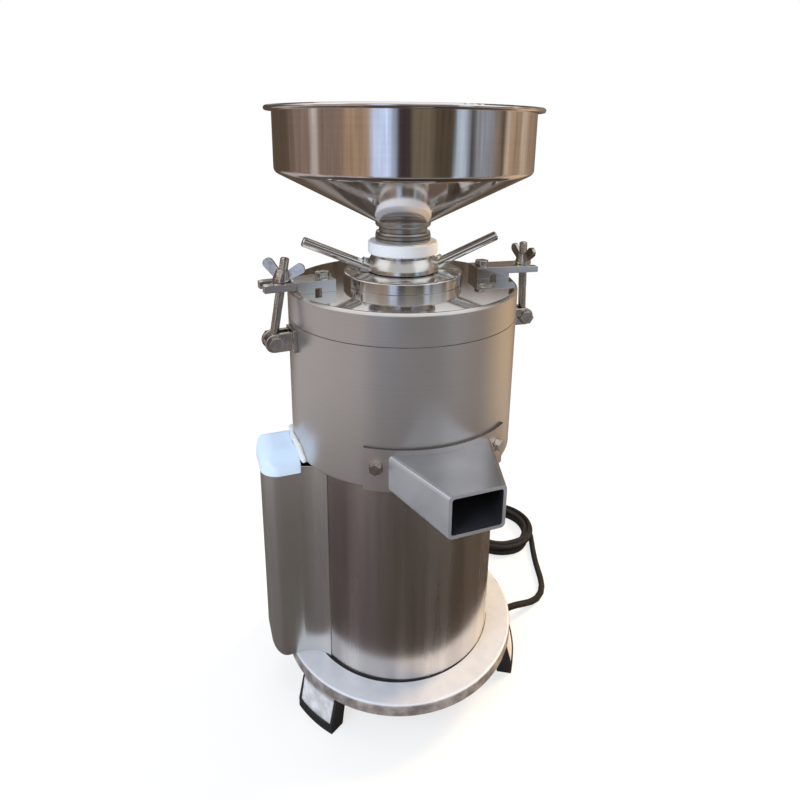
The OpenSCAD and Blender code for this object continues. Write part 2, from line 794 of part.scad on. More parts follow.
module lid() {
    spigot_r = chamber_in_r - move_gap;
    spigot_h = 6;
    lift_r = chamber_r - 30.5;
    lift_depth = 4;
    boss_bore_r = feed_r + 10;
    color(steel) difference() {
        rotate_extrude() polygon([
            [boss_bore_r + seat_gap / 2, lid_under_z], [chamber_r - lid_skirt_t - 2, lid_under_z],
            [spigot_r - 3, lid_under_z - 4], [spigot_r - 3, skirt_z - spigot_h],
            [spigot_r, skirt_z - spigot_h], [spigot_r, skirt_z], [chamber_r, skirt_z],
            [chamber_r, lid_z - lid_chamfer], [chamber_r - lid_chamfer, lid_z],
            [boss_bore_r + seat_gap / 2, lid_z]]);
        for (a = [-34.5, 145.5]) rotate([0, 0, a]) translate([lift_r, 0, lid_z - lift_depth])
            cylinder(h = lift_depth + 1, r = lift_hole_d / 2);
        boss_screw_holes(screw_d / 2 + run_fit);
        fork_screw_holes(fork_screw_d / 2 + run_fit);
    }
}

module lid_boss() {
    edge = 1.2;
    spigot_r = feed_r + 10;
    spigot_h = boss_spigot_h;
    bore_r = feed_r + run_fit;
    well_r = hub_neck_r + move_gap;
    well_z = boss_z - hub_neck_h;
    color(steel) difference() {
        union() {
            rotate_extrude() polygon([
                [bore_r, lid_z - spigot_h], [spigot_r, lid_z - spigot_h], [spigot_r, lid_z],
                [boss_d / 2, lid_z], [boss_d / 2, boss_z - edge], [boss_d / 2 - edge, boss_z],
                [well_r, boss_z], [well_r, well_z], [bore_r, well_z]]);
            translate([feed_r - key_depth + move_gap, -key_w / 2, lid_z - spigot_h])
                cube([key_depth + 2, key_w, spigot_h]);
        }
        boss_screw_holes(screw_d / 2 + run_fit);
        for (a = boss_screw_angles) rotate([0, 0, a]) translate([boss_screw_r, 0, boss_screw_seat_z])
            cylinder(h = far, r = boss_screw_head_r + seat_gap);
    }
}

// Socket-head screws, sunk level with the boss
module boss_screws() {
    socket = screw_d * 0.83;
    color(steel) for (a = boss_screw_angles) rotate([0, 0, a]) translate([boss_screw_r, 0, 0])
        difference() {
            union() {
                translate([0, 0, boss_screw_seat_z]) cylinder(h = boss_screw_head_h, r = boss_screw_head_r);
                translate([0, 0, lid_under_z + 2])
                    cylinder(h = boss_screw_seat_z - lid_under_z - 2, r = screw_d / 2);
            }
            translate([0, 0, boss_z - boss_screw_head_h / 2]) hex_prism(socket, boss_screw_head_h);
        }
}

// Forked bar across the lid's edge; beyond its seat it stays inside the wing nut's arc
module clamp_fork(side) {
    spot_r = 10.5;
    color(steel) clamp_place(side) difference() {
        union() {
            translate([fork_in_r, -fork_w / 2, fork_z]) cube([fork_tip_r - fork_in_r, fork_w, fork_t]);
            for (r = [fork_in_r, fork_pad_r - fork_pad_len])
                translate([r, -fork_w / 2, lid_z]) cube([fork_pad_len, fork_w, fork_rise]);
        }
        translate([seat_r(side), -fork_slot / 2, fork_z - 1]) cube([fork_tip_r, fork_slot, fork_t + 2]);
        translate([seat_r(side), 0, fork_z - 1]) cylinder(h = fork_t + 2, r = fork_slot / 2);
        translate([pin_r, 0, pin_z]) rotate([0, -lean(side), 0]) translate([0, 0, nut_seat_h(side)])
            cylinder(h = fork_t, r = spot_r);
        difference() {
            translate([seat_r(side), -fork_w, fork_z - 1]) cube([fork_tip_r, 2 * fork_w, 2 * fork_t]);
            translate([pin_r, fork_w, pin_z]) rotate([90, 0, 0])
                cylinder(h = 2 * fork_w, r = nut_seat_h(side) - move_gap, $fn = 180);
        }
        translate([fork_screw_r, 0, lid_z - 1]) cylinder(h = far, r = fork_screw_d / 2 + run_fit);
    }
}

module clamp_fork_left() {
    clamp_fork("left");
}

module clamp_fork_right() {
    clamp_fork("right");
}

module fork_screws() {
    color(steel) for (s = ["left", "right"]) clamp_place(s) translate([fork_screw_r, 0, 0]) {
        translate([0, 0, fork_top_z]) hex_prism(fork_screw_d * 1.62, fork_screw_d * 0.66);
        translate([0, 0, lid_under_z + 2]) cylinder(h = fork_top_z - lid_under_z - 2, r = fork_screw_d / 2);
    }
}

module motor_shaft() {
    shaft_z = lower_bearing_z + 0.5;
    color(steel) union() {
        translate([0, 0, shaft_z]) cylinder(h = lower_stone_z - shaft_z, r = shaft_r);
        translate([0, 0, lower_stone_z - 1]) cylinder(h = shaft_top_z - lower_stone_z + 1, r = step_r);
    }
}

module rotor_core() {
    end_ring_h = 8;
    color([0.45, 0.45, 0.47]) {
        ring(rotor_r, shaft_r + seat_gap / 2, stack_z, stack_top_z);
        ring(rotor_r - 6, shaft_r + seat_gap / 2 + 9, stack_z - end_ring_h, stack_z);
        ring(rotor_r - 6, shaft_r + seat_gap / 2 + 9, stack_top_z, stack_top_z + end_ring_h);
    }
}

module cooling_fan() {
    hub_fan_r = shaft_r + 6;
    blade_t = 2;
    blade_h = 14;
    color(rubber_black) {
        ring(hub_fan_r, shaft_r + seat_gap / 2, fan_z, fan_z + blade_h);
        ring(fan_r, hub_fan_r - 1, fan_z, fan_z + 2);
        for (i = [0:fan_blades - 1]) rotate([0, 0, 360 * i / fan_blades])
            translate([hub_fan_r - 1, -blade_t / 2, fan_z]) cube([fan_r - hub_fan_r, blade_t, blade_h]);
    }
}

// Turning plate under the lower stone, with vanes that sweep the milled liquid to the spout
module stone_carrier() {
    vane_t = 4;
    sleeve_r = shaft_r + 9;
    vane_r = chamber_in_r - 7;
    plate_r = stone_r + 2;
    color(steel) difference() {
        union() {
            translate([0, 0, vane_z]) cylinder(h = carrier_z - vane_z + lower_carrier_t, r = sleeve_r);
            translate([0, 0, carrier_z]) cylinder(h = lower_carrier_t, r = plate_r);
            for (i = [0:vane_count - 1]) rotate([0, 0, 360 * i / vane_count])
                translate([sleeve_r - 2, -vane_t / 2, vane_z])
                    cube([vane_r - sleeve_r + 2, vane_t, vane_h + 2]);
        }
        translate([0, 0, vane_z - 1]) cylinder(h = far / 4, r = shaft_r + seat_gap / 2);
    }
}

module lower_stone() {
    color(stone_grey) rotate_extrude() polygon([
        [step_r + seat_gap, lower_stone_z], [stone_r, lower_stone_z], [stone_r, lower_stone_z + stone_h],
        [stone_r * 0.62, lower_stone_z + stone_h], [stone_eye_r + 2, nut_z + 5],
        [stone_eye_r + 2, nut_z], [step_r + seat_gap, nut_z]]);
}

module stone_nut() {
    washer_t = 2.5;
    color(steel) difference() {
        union() {
            translate([0, 0, nut_z]) cylinder(h = washer_t, r = stone_eye_r);
            translate([0, 0, nut_z + washer_t]) hex_prism(step_r * 3, 8);
        }
        translate([0, 0, nut_z - 1]) cylinder(h = 20, r = step_r + seat_gap / 2);
    }
}

module feed_tube() {
    flange_r = collar_d / 2 - 3;
    bore_r = feed_bore_d / 2;
    color(steel) difference() {
        rotate_extrude() polygon([
            [bore_r, upper_carrier_z], [feed_r, upper_carrier_z], [feed_r, flange_z], [flange_r, flange_z],
            [flange_r, collar_z], [feed_r, collar_z], [feed_r, collar_z + feed_top],
            [bore_r, collar_z + feed_top]]);
        translate([feed_r - key_depth, -key_w / 2 - move_gap, lid_z - boss_spigot_h - adjust_pitch - 1])
            cube([key_depth + 1, key_w + 2 * move_gap, boss_spigot_h + adjust_pitch + 2]);
    }
}

module upper_stone_carrier() {
    rib_h = 10;
    rib_r = feed_r + 8;
    color(steel) {
        ring(stone_r + 2, feed_r + seat_gap / 2, upper_carrier_z, upper_carrier_z + upper_carrier_t);
        ring(rib_r, feed_r + seat_gap / 2, upper_carrier_z + upper_carrier_t - 1,
            upper_carrier_z + upper_carrier_t + rib_h);
    }
}

module upper_stone() {
    color(stone_grey) rotate_extrude() polygon([
        [stone_eye_r, upper_carrier_z], [stone_r, upper_carrier_z], [stone_r, upper_stone_z],
        [stone_r * 0.62, upper_stone_z], [stone_eye_r, upper_stone_z + stone_h * 0.45]]);
}

module nylon_collar() {
    edge = 1.5;
    r = collar_d / 2;
    color(nylon_white) rotate_extrude() polygon(concat(
        [[feed_r + seat_gap / 2, collar_z]], arc([r - edge, collar_z + edge], edge, -90, 0, 4),
        arc([r - edge, collar_top_z - edge], edge, 0, 90, 4),
        [[neck_spigot_r + run_fit, collar_top_z], [neck_spigot_r + run_fit, collar_z + feed_top + 0.5],
        [feed_r + seat_gap / 2, collar_z + feed_top + 0.5]]));
}

// Puts children at a handle's root, their +Z along the rod
module handle_place(side) {
    rotate([0, 0, handle_angle + (side == "left" ? 180 : 0)])
        translate([handle_root_r, 0, handle_root_z]) rotate([0, 90 - handle_tilt, 0]) children();
}

// Socket for a handle's root, cut off level with the hub's foot
module handle_lug(side) {
    lug_r = handle_d / 2 + 2.6;
    lug_out = 5;
    intersection() {
        handle_place(side) translate([0, 0, -lug_r]) cylinder(h = lug_r + lug_out, r = lug_r);
        translate([0, 0, hub_z]) cylinder(h = far, r = far);
    }
}

module adjuster_hub() {
    bore_r = feed_r + run_fit;
    color(steel) difference() {
        union() {
            rotate_extrude() polygon([
                [bore_r, boss_z - hub_neck_h + move_gap], [hub_neck_r, boss_z - hub_neck_h + move_gap],
                [hub_neck_r, hub_z], [hub_r - 1, hub_z], [hub_r, hub_z + 1], [hub_r, hub_z + hub_h * 0.2],
                [hub_r - 1.2, hub_z + hub_h * 0.45], [hub_r - 3, hub_z + hub_h * 0.75],
                [hub_r - 5, hub_top_z], [bore_r, hub_top_z]]);
            for (s = ["left", "right"]) handle_lug(s);
        }
        for (s = ["left", "right"]) handle_place(s) cylinder(h = far, r = handle_d / 2 + seat_gap / 2);
        translate([0, 0, hub_top_z]) cylinder(h = far, r = collar_d / 2 + 1);
        cylinder(h = 2 * far, r = bore_r);
    }
}

module handle(side) {
    tip = 1;
    color(steel) handle_place(side) {
        cylinder(h = handle_len - tip, r = handle_d / 2);
        translate([0, 0, handle_len - tip]) cylinder(h = tip, r1 = handle_d / 2, r2 = handle_d / 2 - tip);
    }
}

module handle_left() {
    handle("left");
}

module handle_right() {
    handle("right");
}

module hopper_neck() {
    bead = neck_ring_h / 3;
    waist_r = feed_r;
    groove = 1.3;
    bulge_z = waist_z + neck_waist_h * 0.35;
    color(steel) rotate_extrude() polygon([
        [neck_bore_r, neck_z - spigot_len], [neck_spigot_r, neck_z - spigot_len], [neck_spigot_r, neck_z],
        [neck_ring_r - 0.6, neck_z], [neck_ring_r, neck_z + 0.6], [neck_ring_r, neck_z + bead - 0.6],
        [neck_ring_r - groove, neck_z + bead], [neck_ring_r, neck_z + bead + 0.6],
        [neck_ring_r, neck_z + 2 * bead - 0.6], [neck_ring_r - groove, neck_z + 2 * bead],
        [neck_ring_r - 0.3, neck_z + 2 * bead + 0.8], [neck_ring_r - 0.8, waist_z - 1], [waist_r, waist_z],
        [waist_r, bulge_z], [neck_ring_r - 1, bulge_z + 1.5], [neck_ring_r, bulge_z + 3],
        [neck_ring_r, cone_z], [neck_bore_r, cone_z]]);
}

module hopper() {
    foot_r = neck_ring_r + 0.7;
    cone_angle = atan2(hopper_cone_h, hopper_r - foot_r);
    lift = hopper_t / cos(cone_angle);
    in_r = hopper_r - hopper_t;
    back = shoulder_r * tan((90 - cone_angle) / 2);
    function shoulder(r) = arc([hopper_r - shoulder_r, shoulder_z + back], r, cone_angle - 90, 0, 8);
    inside = shoulder(shoulder_r - hopper_t);
    inner_foot_r = foot_r - (lift - hopper_t) / tan(cone_angle);
    lip_r = hopper_r + rim_w - rim_roll_d / 2;
    color(steel) rotate_extrude() {
        polygon(concat(
            [[neck_bore_r, cone_z], [foot_r, cone_z]], shoulder(shoulder_r),
            [[hopper_r, rim_top_z - hopper_t], [lip_r, rim_top_z - hopper_t], [lip_r, rim_top_z],
            [in_r, rim_top_z]],
            [for (i = [len(inside) - 1:-1:0]) inside[i]],
            [[inner_foot_r, cone_z + hopper_t], [neck_bore_r, cone_z + hopper_t]]));
        translate([lip_r, rim_top_z - rim_roll_d / 2]) circle(r = rim_roll_d / 2, $fn = 32);
    }
}

// Eye bolt on the hinge pin
module swing_bolt(side) {
    color(steel) bolt_place(side) difference() {
        union() {
            rotate([90, 0, 0]) cylinder(h = eye_w, r = eye_r, center = true);
            cylinder(h = bolt_len - 1, r = bolt_d / 2);
            translate([0, 0, bolt_len - 1]) cylinder(h = 1, r1 = bolt_d / 2, r2 = bolt_d / 2 - 1);
        }
        rotate([90, 0, 0]) cylinder(h = eye_w + 2, r = pin_d / 2 + run_fit, center = true);
    }
}

module swing_bolt_left() {
    swing_bolt("left");
}

module swing_bolt_right() {
    swing_bolt("right");
}

module wing_nut(side, turn) {
    base_h = 3;
    body_h = 11;
    base_w = bolt_d * 1.05;
    wing_t = 3.4;
    wing_r = 5;
    tip_x = wing_span / 2 - wing_r;
    tip_z = body_h + 3.5;
    color(steel) bolt_place(side) translate([0, 0, nut_seat_h(side) + wing_seat]) rotate([0, 0, turn])
        difference() {
            union() {
                cylinder(h = base_h, r = base_w);
                translate([0, 0, base_h])
                    cylinder(h = body_h - base_h, r1 = base_w - 0.6, r2 = bolt_d * 0.78);
                for (s = [0, 180]) rotate([90, 0, s]) linear_extrude(height = wing_t, center = true) hull() {
                    translate([bolt_d * 0.6, body_h / 2 + 0.5]) circle(r = wing_r - 1, $fn = 32);
                    translate([tip_x, tip_z]) circle(r = wing_r, $fn = 32);
                }
            }
            translate([0, 0, -1]) cylinder(h = 2 * body_h, r = bolt_d / 2 + run_fit);
        }
}

module wing_nut_left() {
    wing_nut("left", -30);
}

module wing_nut_right() {
    wing_nut("right", 80);
}

module strain_relief() {
    color(rubber_black) relief_place() {
        translate([0, 0, -relief_len]) cylinder(h = relief_len, r1 = relief_r, r2 = cord_d / 2 + 0.5);
        translate([0, 0, -relief_len - lug_t]) cylinder(h = lug_t, r = relief_r);
        translate([0, 0, -relief_len]) cylinder(h = relief_flange_t, r = relief_flange_r);
    }
}

module power_cord() {
    color(rubber_black) tube(cord_route, cord_d / 2);
}

module plug_lead() {
    color(rubber_black) tube(plug_route, cord_d / 2);
}

// Section of the coil's outer shape: columns of turns beside and on each other
module coil_section(grow, drop) {
    w = coil_columns * cord_d + 2 * coil_play;
    h = coil_layers * cord_d + coil_play;
    translate([coil_mid_r - w / 2 - grow, coil_play - drop]) square([w + 2 * grow, h + grow + drop]);
}

module cord_coil() {
    color(rubber_black) translate([coil_at[0], coil_at[1], 0]) rotate_extrude() coil_section(0, 0);
}

// Strap over the coil, open at the floor
module cord_tie() {
    color(rubber_black) translate([coil_at[0], coil_at[1], 0]) intersection() {
        difference() {
            rotate_extrude() coil_section(tie_t, 0);
            rotate_extrude() coil_section(seat_gap / 2, 1);
        }
        rotate([0, 0, tie_at]) translate([0, -tie_w / 2, 0]) cube([far, tie_w, far]);
    }
}

// Puts children at the end of the plug's lead, their +Z along the plug
module plug_place() {
    translate(plug_route[len(plug_route) - 1]) rotate([0, 90, plug_turn]) children();
}

module plug_body() {
    edge = 3;
    color(rubber_black) plug_place() rotate_extrude() polygon(concat(
        [[0, 0], [cord_d / 2 + 1, 0], [cord_d / 2 + 2.5, plug_tail_len]],
        arc([plug_r - edge, plug_tail_len + edge], edge, -90, 0, 4),
        [[plug_r, plug_tail_len + plug_len], [0, plug_tail_len + plug_len]]));
}

module plug_pins() {
    color(steel) plug_place() translate([0, 0, plug_tail_len + plug_len])
        for (a = [0, 120, 240]) rotate([0, 0, a]) translate([7.2, 0, pin_blade[2] / 2])
            rotate([0, 0, a == 0 ? 0 : 90]) cube([pin_blade[0], pin_blade[1], pin_blade[2]], center = true);
}

base_casting();
rubber_feet();
motor_shell();
side_box();
box_cap();
cap_seal();
start_capacitor();
lower_end_bell();
upper_end_bell();
stator_core();
stator_winding();
lower_bearing();
upper_bearing();
grinding_chamber();
shaft_seal();
spout();
spout_gasket();
spout_bolts();
hinge_bracket_left();
hinge_bracket_right();
hinge_pin_left();
hinge_pin_right();
lid_gasket();
lid();
lid_boss();
boss_screws();
clamp_fork_left();
clamp_fork_right();
fork_screws();
motor_shaft();
rotor_core();
cooling_fan();
stone_carrier();
lower_stone();
stone_nut();
feed_tube();
upper_stone_carrier();
upper_stone();
nylon_collar();
adjuster_hub();
handle_left();
handle_right();
hopper_neck();
hopper();
swing_bolt_left();
swing_bolt_right();
wing_nut_left();
wing_nut_right();
strain_relief();
power_cord();
cord_coil();
cord_tie();
plug_lead();
plug_body();
plug_pins();
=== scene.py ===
import json
import math

import bmesh
import bpy
from mathutils import Matrix, Vector, noise
from mathutils.bvhtree import BVHTree


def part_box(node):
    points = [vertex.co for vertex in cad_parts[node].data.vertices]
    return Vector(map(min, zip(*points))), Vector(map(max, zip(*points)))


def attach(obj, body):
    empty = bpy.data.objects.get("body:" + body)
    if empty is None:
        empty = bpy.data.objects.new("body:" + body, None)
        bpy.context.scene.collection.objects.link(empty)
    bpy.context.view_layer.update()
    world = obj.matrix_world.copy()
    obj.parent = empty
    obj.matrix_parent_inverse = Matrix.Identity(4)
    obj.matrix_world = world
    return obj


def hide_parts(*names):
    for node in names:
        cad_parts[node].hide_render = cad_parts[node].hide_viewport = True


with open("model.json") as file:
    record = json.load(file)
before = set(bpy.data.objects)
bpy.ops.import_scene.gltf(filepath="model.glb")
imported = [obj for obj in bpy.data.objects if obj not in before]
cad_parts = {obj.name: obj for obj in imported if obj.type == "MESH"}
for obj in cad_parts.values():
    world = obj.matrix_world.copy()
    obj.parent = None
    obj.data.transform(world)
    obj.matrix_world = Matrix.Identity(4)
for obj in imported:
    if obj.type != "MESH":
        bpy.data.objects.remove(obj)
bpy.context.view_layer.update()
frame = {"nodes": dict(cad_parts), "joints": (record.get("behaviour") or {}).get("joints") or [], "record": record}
NODES = frame["nodes"]
BODY_OF = {node: body for body, nodes in frame["record"]["behaviour"]["bodies"].items() for node in nodes}
SLOT_OF = {part["node"]: part["material_slot"] for part in frame["record"]["subparts"]}
JOINTS = {joint["name"]: joint for joint in frame["joints"]}
MM = 0.001
scene = bpy.context.scene
scene.view_settings.view_transform = "Standard"


def link_object(name, data):
    thing = bpy.data.objects.new(name, data)
    scene.collection.objects.link(thing)
    return thing


# Camera at the photograph's angle
CAMERA_AT = Vector((-0.2041, -0.5458, 0.597))
CAMERA_PITCH = math.radians(15.384)
CAMERA_TURN = math.radians(-20.5)
CAMERA_ROLL = 0.012
SENSOR_WIDTH = 36.0
PHOTO_PX = 800
PHOTO_FOCAL_PX = 593.05
PHOTO_CENTRE_PX = (402.26, 291.48)


def make_camera():
    data = bpy.data.cameras.new("photo_camera")
    data.sensor_width = SENSOR_WIDTH
    data.lens = PHOTO_FOCAL_PX * SENSOR_WIDTH / PHOTO_PX
    data.shift_x = (PHOTO_PX / 2 - PHOTO_CENTRE_PX[0]) / PHOTO_PX
    data.shift_y = (PHOTO_CENTRE_PX[1] - PHOTO_PX / 2) / PHOTO_PX
    camera = link_object("photo_camera", data)
    turn = Matrix.Rotation(CAMERA_TURN, 4, "Z")
    tilt = Matrix.Rotation(math.pi / 2 - CAMERA_PITCH, 4, "X")
    roll = Matrix.Rotation(CAMERA_ROLL, 4, "Z")
    camera.matrix_world = Matrix.Translation(CAMERA_AT) @ turn @ tilt @ roll
    scene.camera = camera


make_camera()

# Mains cord, in millimetres: out from under the base, along the floor into a coil of four turns,
# then to the plug
CORD_DIAMETER = 8.0
CORD_ROUTE = [(116, -28.6, 24), (128.5, -25, 23), (141, -21.4, 20.5), (153.5, -17.8, 16.5),
              (166, -14.2, 11.5), (178.5, -10.6, 7), (191, -6, 4.5), (202, 1.5, 4.1), (210.5, 12, 4.1),
              (216.5, 24.5, 4.1), (221.5, 38, 4.1), (226.5, 51.5, 4.1), (232, 64.5, 4.1), (238, 77.5, 4.1),
              (244.5, 90.5, 4.1), (250.5, 103, 4.1), (255.5, 116.5, 4.1)]
PLUG_ROUTE = [(226.5, 180.8, 12.1), (212, 186.2, 11.2), (197, 191.8, 10.4), (182, 197.4, 10.8),
              (168, 202.7, 12.2), (160, 205.7, 13)]
COIL_CENTRE = (209, 134)
COIL_START = -20.5
# Radius and height of each turn of the coil
COIL_TURNS = [(50, 4.1), (42, 4.1), (42, 12.1), (50, 12.1)]
COIL_LAST_QUARTER = 0.25
COIL_STEPS = 36
# Share of a turn in which the cord passes to the next radius and height
COIL_CHANGE = 0.2
CORD_BEVEL_STEPS = 4


def coil_points():
    """Points of the coil's turns, with a short change of radius and height at the end of each turn."""
    points = []
    last = len(COIL_TURNS) - 1
    total = len(COIL_TURNS) + COIL_LAST_QUARTER
    for i in range(1, int(total * COIL_STEPS)):
        turn = i / COIL_STEPS
        here = min(int(turn), last)
        after = min(here + 1, last)
        way = min(max((turn - here - 1 + COIL_CHANGE) / COIL_CHANGE, 0), 1)
        way = way * way * (3 - 2 * way)
        radius, height = (a * (1 - way) + b * way for a, b in zip(COIL_TURNS[here], COIL_TURNS[after]))
        angle = math.radians(COIL_START + 360 * turn)
        points.append((COIL_CENTRE[0] + radius * math.cos(angle),
                       COIL_CENTRE[1] + radius * math.sin(angle), height))
    return points


def make_cord():
    route = [Vector(p) * MM for p in CORD_ROUTE + coil_points() + PLUG_ROUTE]
    data = bpy.data.curves.new("mains_cord", "CURVE")
    data.dimensions = "3D"
    data.bevel_depth = CORD_DIAMETER / 2 * MM
    data.bevel_resolution = CORD_BEVEL_STEPS
    data.use_fill_caps = True
    spline = data.splines.new("POLY")
    spline.points.add(len(route) - 1)
    for point, place in zip(spline.points, route):
        point.co = (*place, 1)
    spline.use_smooth = True
    return link_object("mains_cord", data)


mains_cord = make_cord()


class Graph:
    """Short words for building a node tree."""

    def __init__(self, tree):
        self.tree = tree

    def add(self, kind, values=None, **settings):
        node = self.tree.nodes.new(kind)
        for name, value in settings.items():
            setattr(node, name, value)
        for name, value in (values or {}).items():
            self.put(node.inputs[name], value)
        return node

    def put(self, socket, value):
        if isinstance(value, bpy.types.NodeSocket):
            self.tree.links.new(value, socket)
        else:
            socket.default_value = value

    def maths(self, operation, *values):
        return self.add("ShaderNodeMath", dict(enumerate(values)), operation=operation).outputs[0]

    def mean(self, one, other):
        return self.maths("MULTIPLY", self.maths("ADD", one, other), 0.5)

    def mix(self, factor, one, other, blend="MIX"):
        """Colour from one to the other by a factor."""
        values = {0: factor, 6: one, 7: other}
        return self.add("ShaderNodeMix", values, data_type="RGBA", blend_type=blend).outputs[2]

    def tint(self, colour, value):
        """Colour times a value."""
        return self.mix(1.0, colour, value, blend="MULTIPLY")

    def span(self, value, low, high):
        """From low to high as a value goes from 0 to 1."""
        values = {"Value": value, "To Min": low, "To Max": high}
        return self.add("ShaderNodeMapRange", values).outputs[0]

    def mask(self, value, start, end):
        """From 0 to 1 as a value goes from start to end."""
        values = {"Value": value, "From Min": start, "From Max": end}
        return self.add("ShaderNodeMapRange", values).outputs[0]

    def place(self):
        return self.add("ShaderNodeTexCoord").outputs["Object"]

    def parts(self, vector):
        return self.add("ShaderNodeSeparateXYZ", {0: vector}).outputs

    def point(self, x, y, z):
        return self.add("ShaderNodeCombineXYZ", {0: x, 1: y, 2: z}).outputs[0]

    def clouds(self, vector, scale, detail=2.0, roughness=0.5):
        values = {"Vector": vector, "Scale": scale, "Detail": detail, "Roughness": roughness}
        return self.add("ShaderNodeTexNoise", values).outputs[0]

    def mark(self, name):
        """Value of a face attribute of the piece."""
        return self.add("ShaderNodeAttribute", attribute_name=name).outputs["Fac"]


def rgb(*screen):
    """Linear colour from one written as it looks on a screen."""
    linear = [c / 12.92 if c <= 0.04045 else ((c + 0.055) / 1.055) ** 2.4 for c in screen]
    return (*linear, 1.0)


# Surroundings: pale floor, white background, soft lamps
def unlit_rays(g):
    """1 for rays that see the background itself, 0 for rays that gather light."""
    path = g.add("ShaderNodeLightPath").outputs
    seen = g.maths("MAXIMUM", path["Is Camera Ray"], path["Is Glossy Ray"])
    return g.maths("MAXIMUM", seen, path["Is Transmission Ray"])


def blank_material(name):
    material = bpy.data.materials.new(name)
    material.use_nodes = True
    material.node_tree.nodes.clear()
    return material, Graph(material.node_tree)


WHITE = (1.0, 1.0, 1.0, 1.0)
FLOOR_HALF = 6.0
FLOOR_GREY = (0.9, 0.9, 0.9, 1.0)
# Share of plain white in the floor, near the mill and where the shadow has faded
FLOOR_WHITE_NEAR, FLOOR_WHITE_FAR = 0.72, 1.0
FLOOR_FADE = (0.2, 0.75)
AMBIENT = 0.62


def make_floor():
    mesh = bpy.data.meshes.new("floor")
    corners = [(x * FLOOR_HALF, y * FLOOR_HALF, 0) for x, y in ((-1, -1), (1, -1), (1, 1), (-1, 1))]
    mesh.from_pydata(corners, [], [(0, 1, 2, 3)])
    floor = link_object("floor", mesh)
    material, g = blank_material("pale_floor")
    lit = g.add("ShaderNodeBsdfDiffuse", {"Color": FLOOR_GREY})
    white = g.add("ShaderNodeEmission", {"Color": WHITE, "Strength": 1.0})
    away = g.add("ShaderNodeVectorMath", {0: g.place()}, operation="LENGTH").outputs["Value"]
    share = g.span(g.mask(away, *FLOOR_FADE), FLOOR_WHITE_NEAR, FLOOR_WHITE_FAR)
    factor = g.maths("MULTIPLY", unlit_rays(g), share)
    both = g.add("ShaderNodeMixShader", {0: factor, 1: lit.outputs[0], 2: white.outputs[0]})
    g.add("ShaderNodeOutputMaterial", {"Surface": both.outputs[0]})
    mesh.materials.append(material)
    floor.visible_glossy = False


def make_world():
    world = bpy.data.worlds.new("studio")
    scene.world = world
    world.use_nodes = True
    world.node_tree.nodes.clear()
    g = Graph(world.node_tree)
    strength = g.span(unlit_rays(g), AMBIENT, 1.0)
    sky = g.add("ShaderNodeBackground", {"Color": WHITE, "Strength": strength})
    g.add("ShaderNodeOutputWorld", {"Surface": sky.outputs[0]})


def make_lamp(name, at, aim, size, power, colour, spread=180):
    data = bpy.data.lights.new(name, "AREA")
    data.shape = "DISK"
    data.spread = math.radians(spread)
    data.size = size
    data.energy = power
    data.color = colour
    lamp = link_object(name, data)
    lamp.location = at
    lamp.rotation_euler = (Vector(aim) - Vector(at)).to_track_quat("-Z", "Y").to_euler()
    lamp.visible_glossy = False


# Room around the mill, seen only in reflections: an open drum with a bottom.
# Each list of bands gives tones by the angle in degrees from the camera's side, positive to the right.
UMBER = rgb(0.35, 0.30, 0.25)
WALNUT = rgb(0.52, 0.45, 0.41)
TAN = rgb(0.63, 0.54, 0.45)
CREAM = rgb(0.76, 0.69, 0.61)
PALE = rgb(0.80, 0.76, 0.74)
WINDOW = rgb(0.80, 0.87, 1.00)
SKY = rgb(0.70, 0.76, 0.82)
SHADE = rgb(0.25, 0.21, 0.21)
OLIVE = rgb(0.44, 0.40, 0.34)
DARK_OLIVE = rgb(0.32, 0.28, 0.23)
BLUE_GREY = rgb(0.56, 0.58, 0.61)
ROOM_BANDS = [
    (-180, UMBER), (-112, UMBER), (-100, WALNUT), (-83, WALNUT), (-78, PALE), (-72, WALNUT), (-54, WALNUT),
    (-46, TAN), (-28, TAN), (-21, WINDOW), (-11, WINDOW), (-5, SHADE), (4, SHADE), (8, OLIVE), (20, OLIVE),
    (28, DARK_OLIVE), (38, DARK_OLIVE), (43, SKY), (49, SKY), (55, SHADE), (61, BLUE_GREY), (72, BLUE_GREY),
    (80, WALNUT), (88, UMBER), (94, CREAM), (101, TAN), (108, TAN), (117, CREAM), (128, TAN), (150, WALNUT),
    (180, UMBER)]
LOW_STONE = rgb(0.70, 0.67, 0.665)
LOW_SHADE = rgb(0.44, 0.43, 0.45)
LOW_GREY = rgb(0.58, 0.55, 0.55)
LOW_BROWN = rgb(0.52, 0.47, 0.44)
LOW_SAND = rgb(0.84, 0.72, 0.58)
LOW_BANDS = [
    (-180, UMBER), (-142, UMBER), (-128, LOW_STONE), (-36, LOW_STONE), (-27, LOW_SHADE), (40, LOW_SHADE),
    (50, LOW_GREY), (60, LOW_GREY), (68, LOW_BROWN), (84, LOW_BROWN), (110, LOW_SAND), (136, LOW_SAND),
    (150, UMBER), (180, UMBER)]
GROUND_LIGHT = rgb(0.36, 0.34, 0.32)
GROUND_ROSE = rgb(0.31, 0.27, 0.27)
GROUND_OLIVE = rgb(0.25, 0.21, 0.17)
GROUND_BROWN = rgb(0.32, 0.27, 0.22)
GROUND_BANDS = [
    (-180, GROUND_LIGHT), (-95, GROUND_LIGHT), (-80, GROUND_ROSE), (-30, GROUND_ROSE), (-15, GROUND_OLIVE),
    (60, GROUND_OLIVE), (80, GROUND_BROWN), (180, GROUND_BROWN)]
CEILING_WHITE = rgb(1.0, 1.0, 1.0)
CEILING_GREY = rgb(0.78, 0.78, 0.78)
CEILING_DARK = rgb(0.46, 0.45, 0.44)
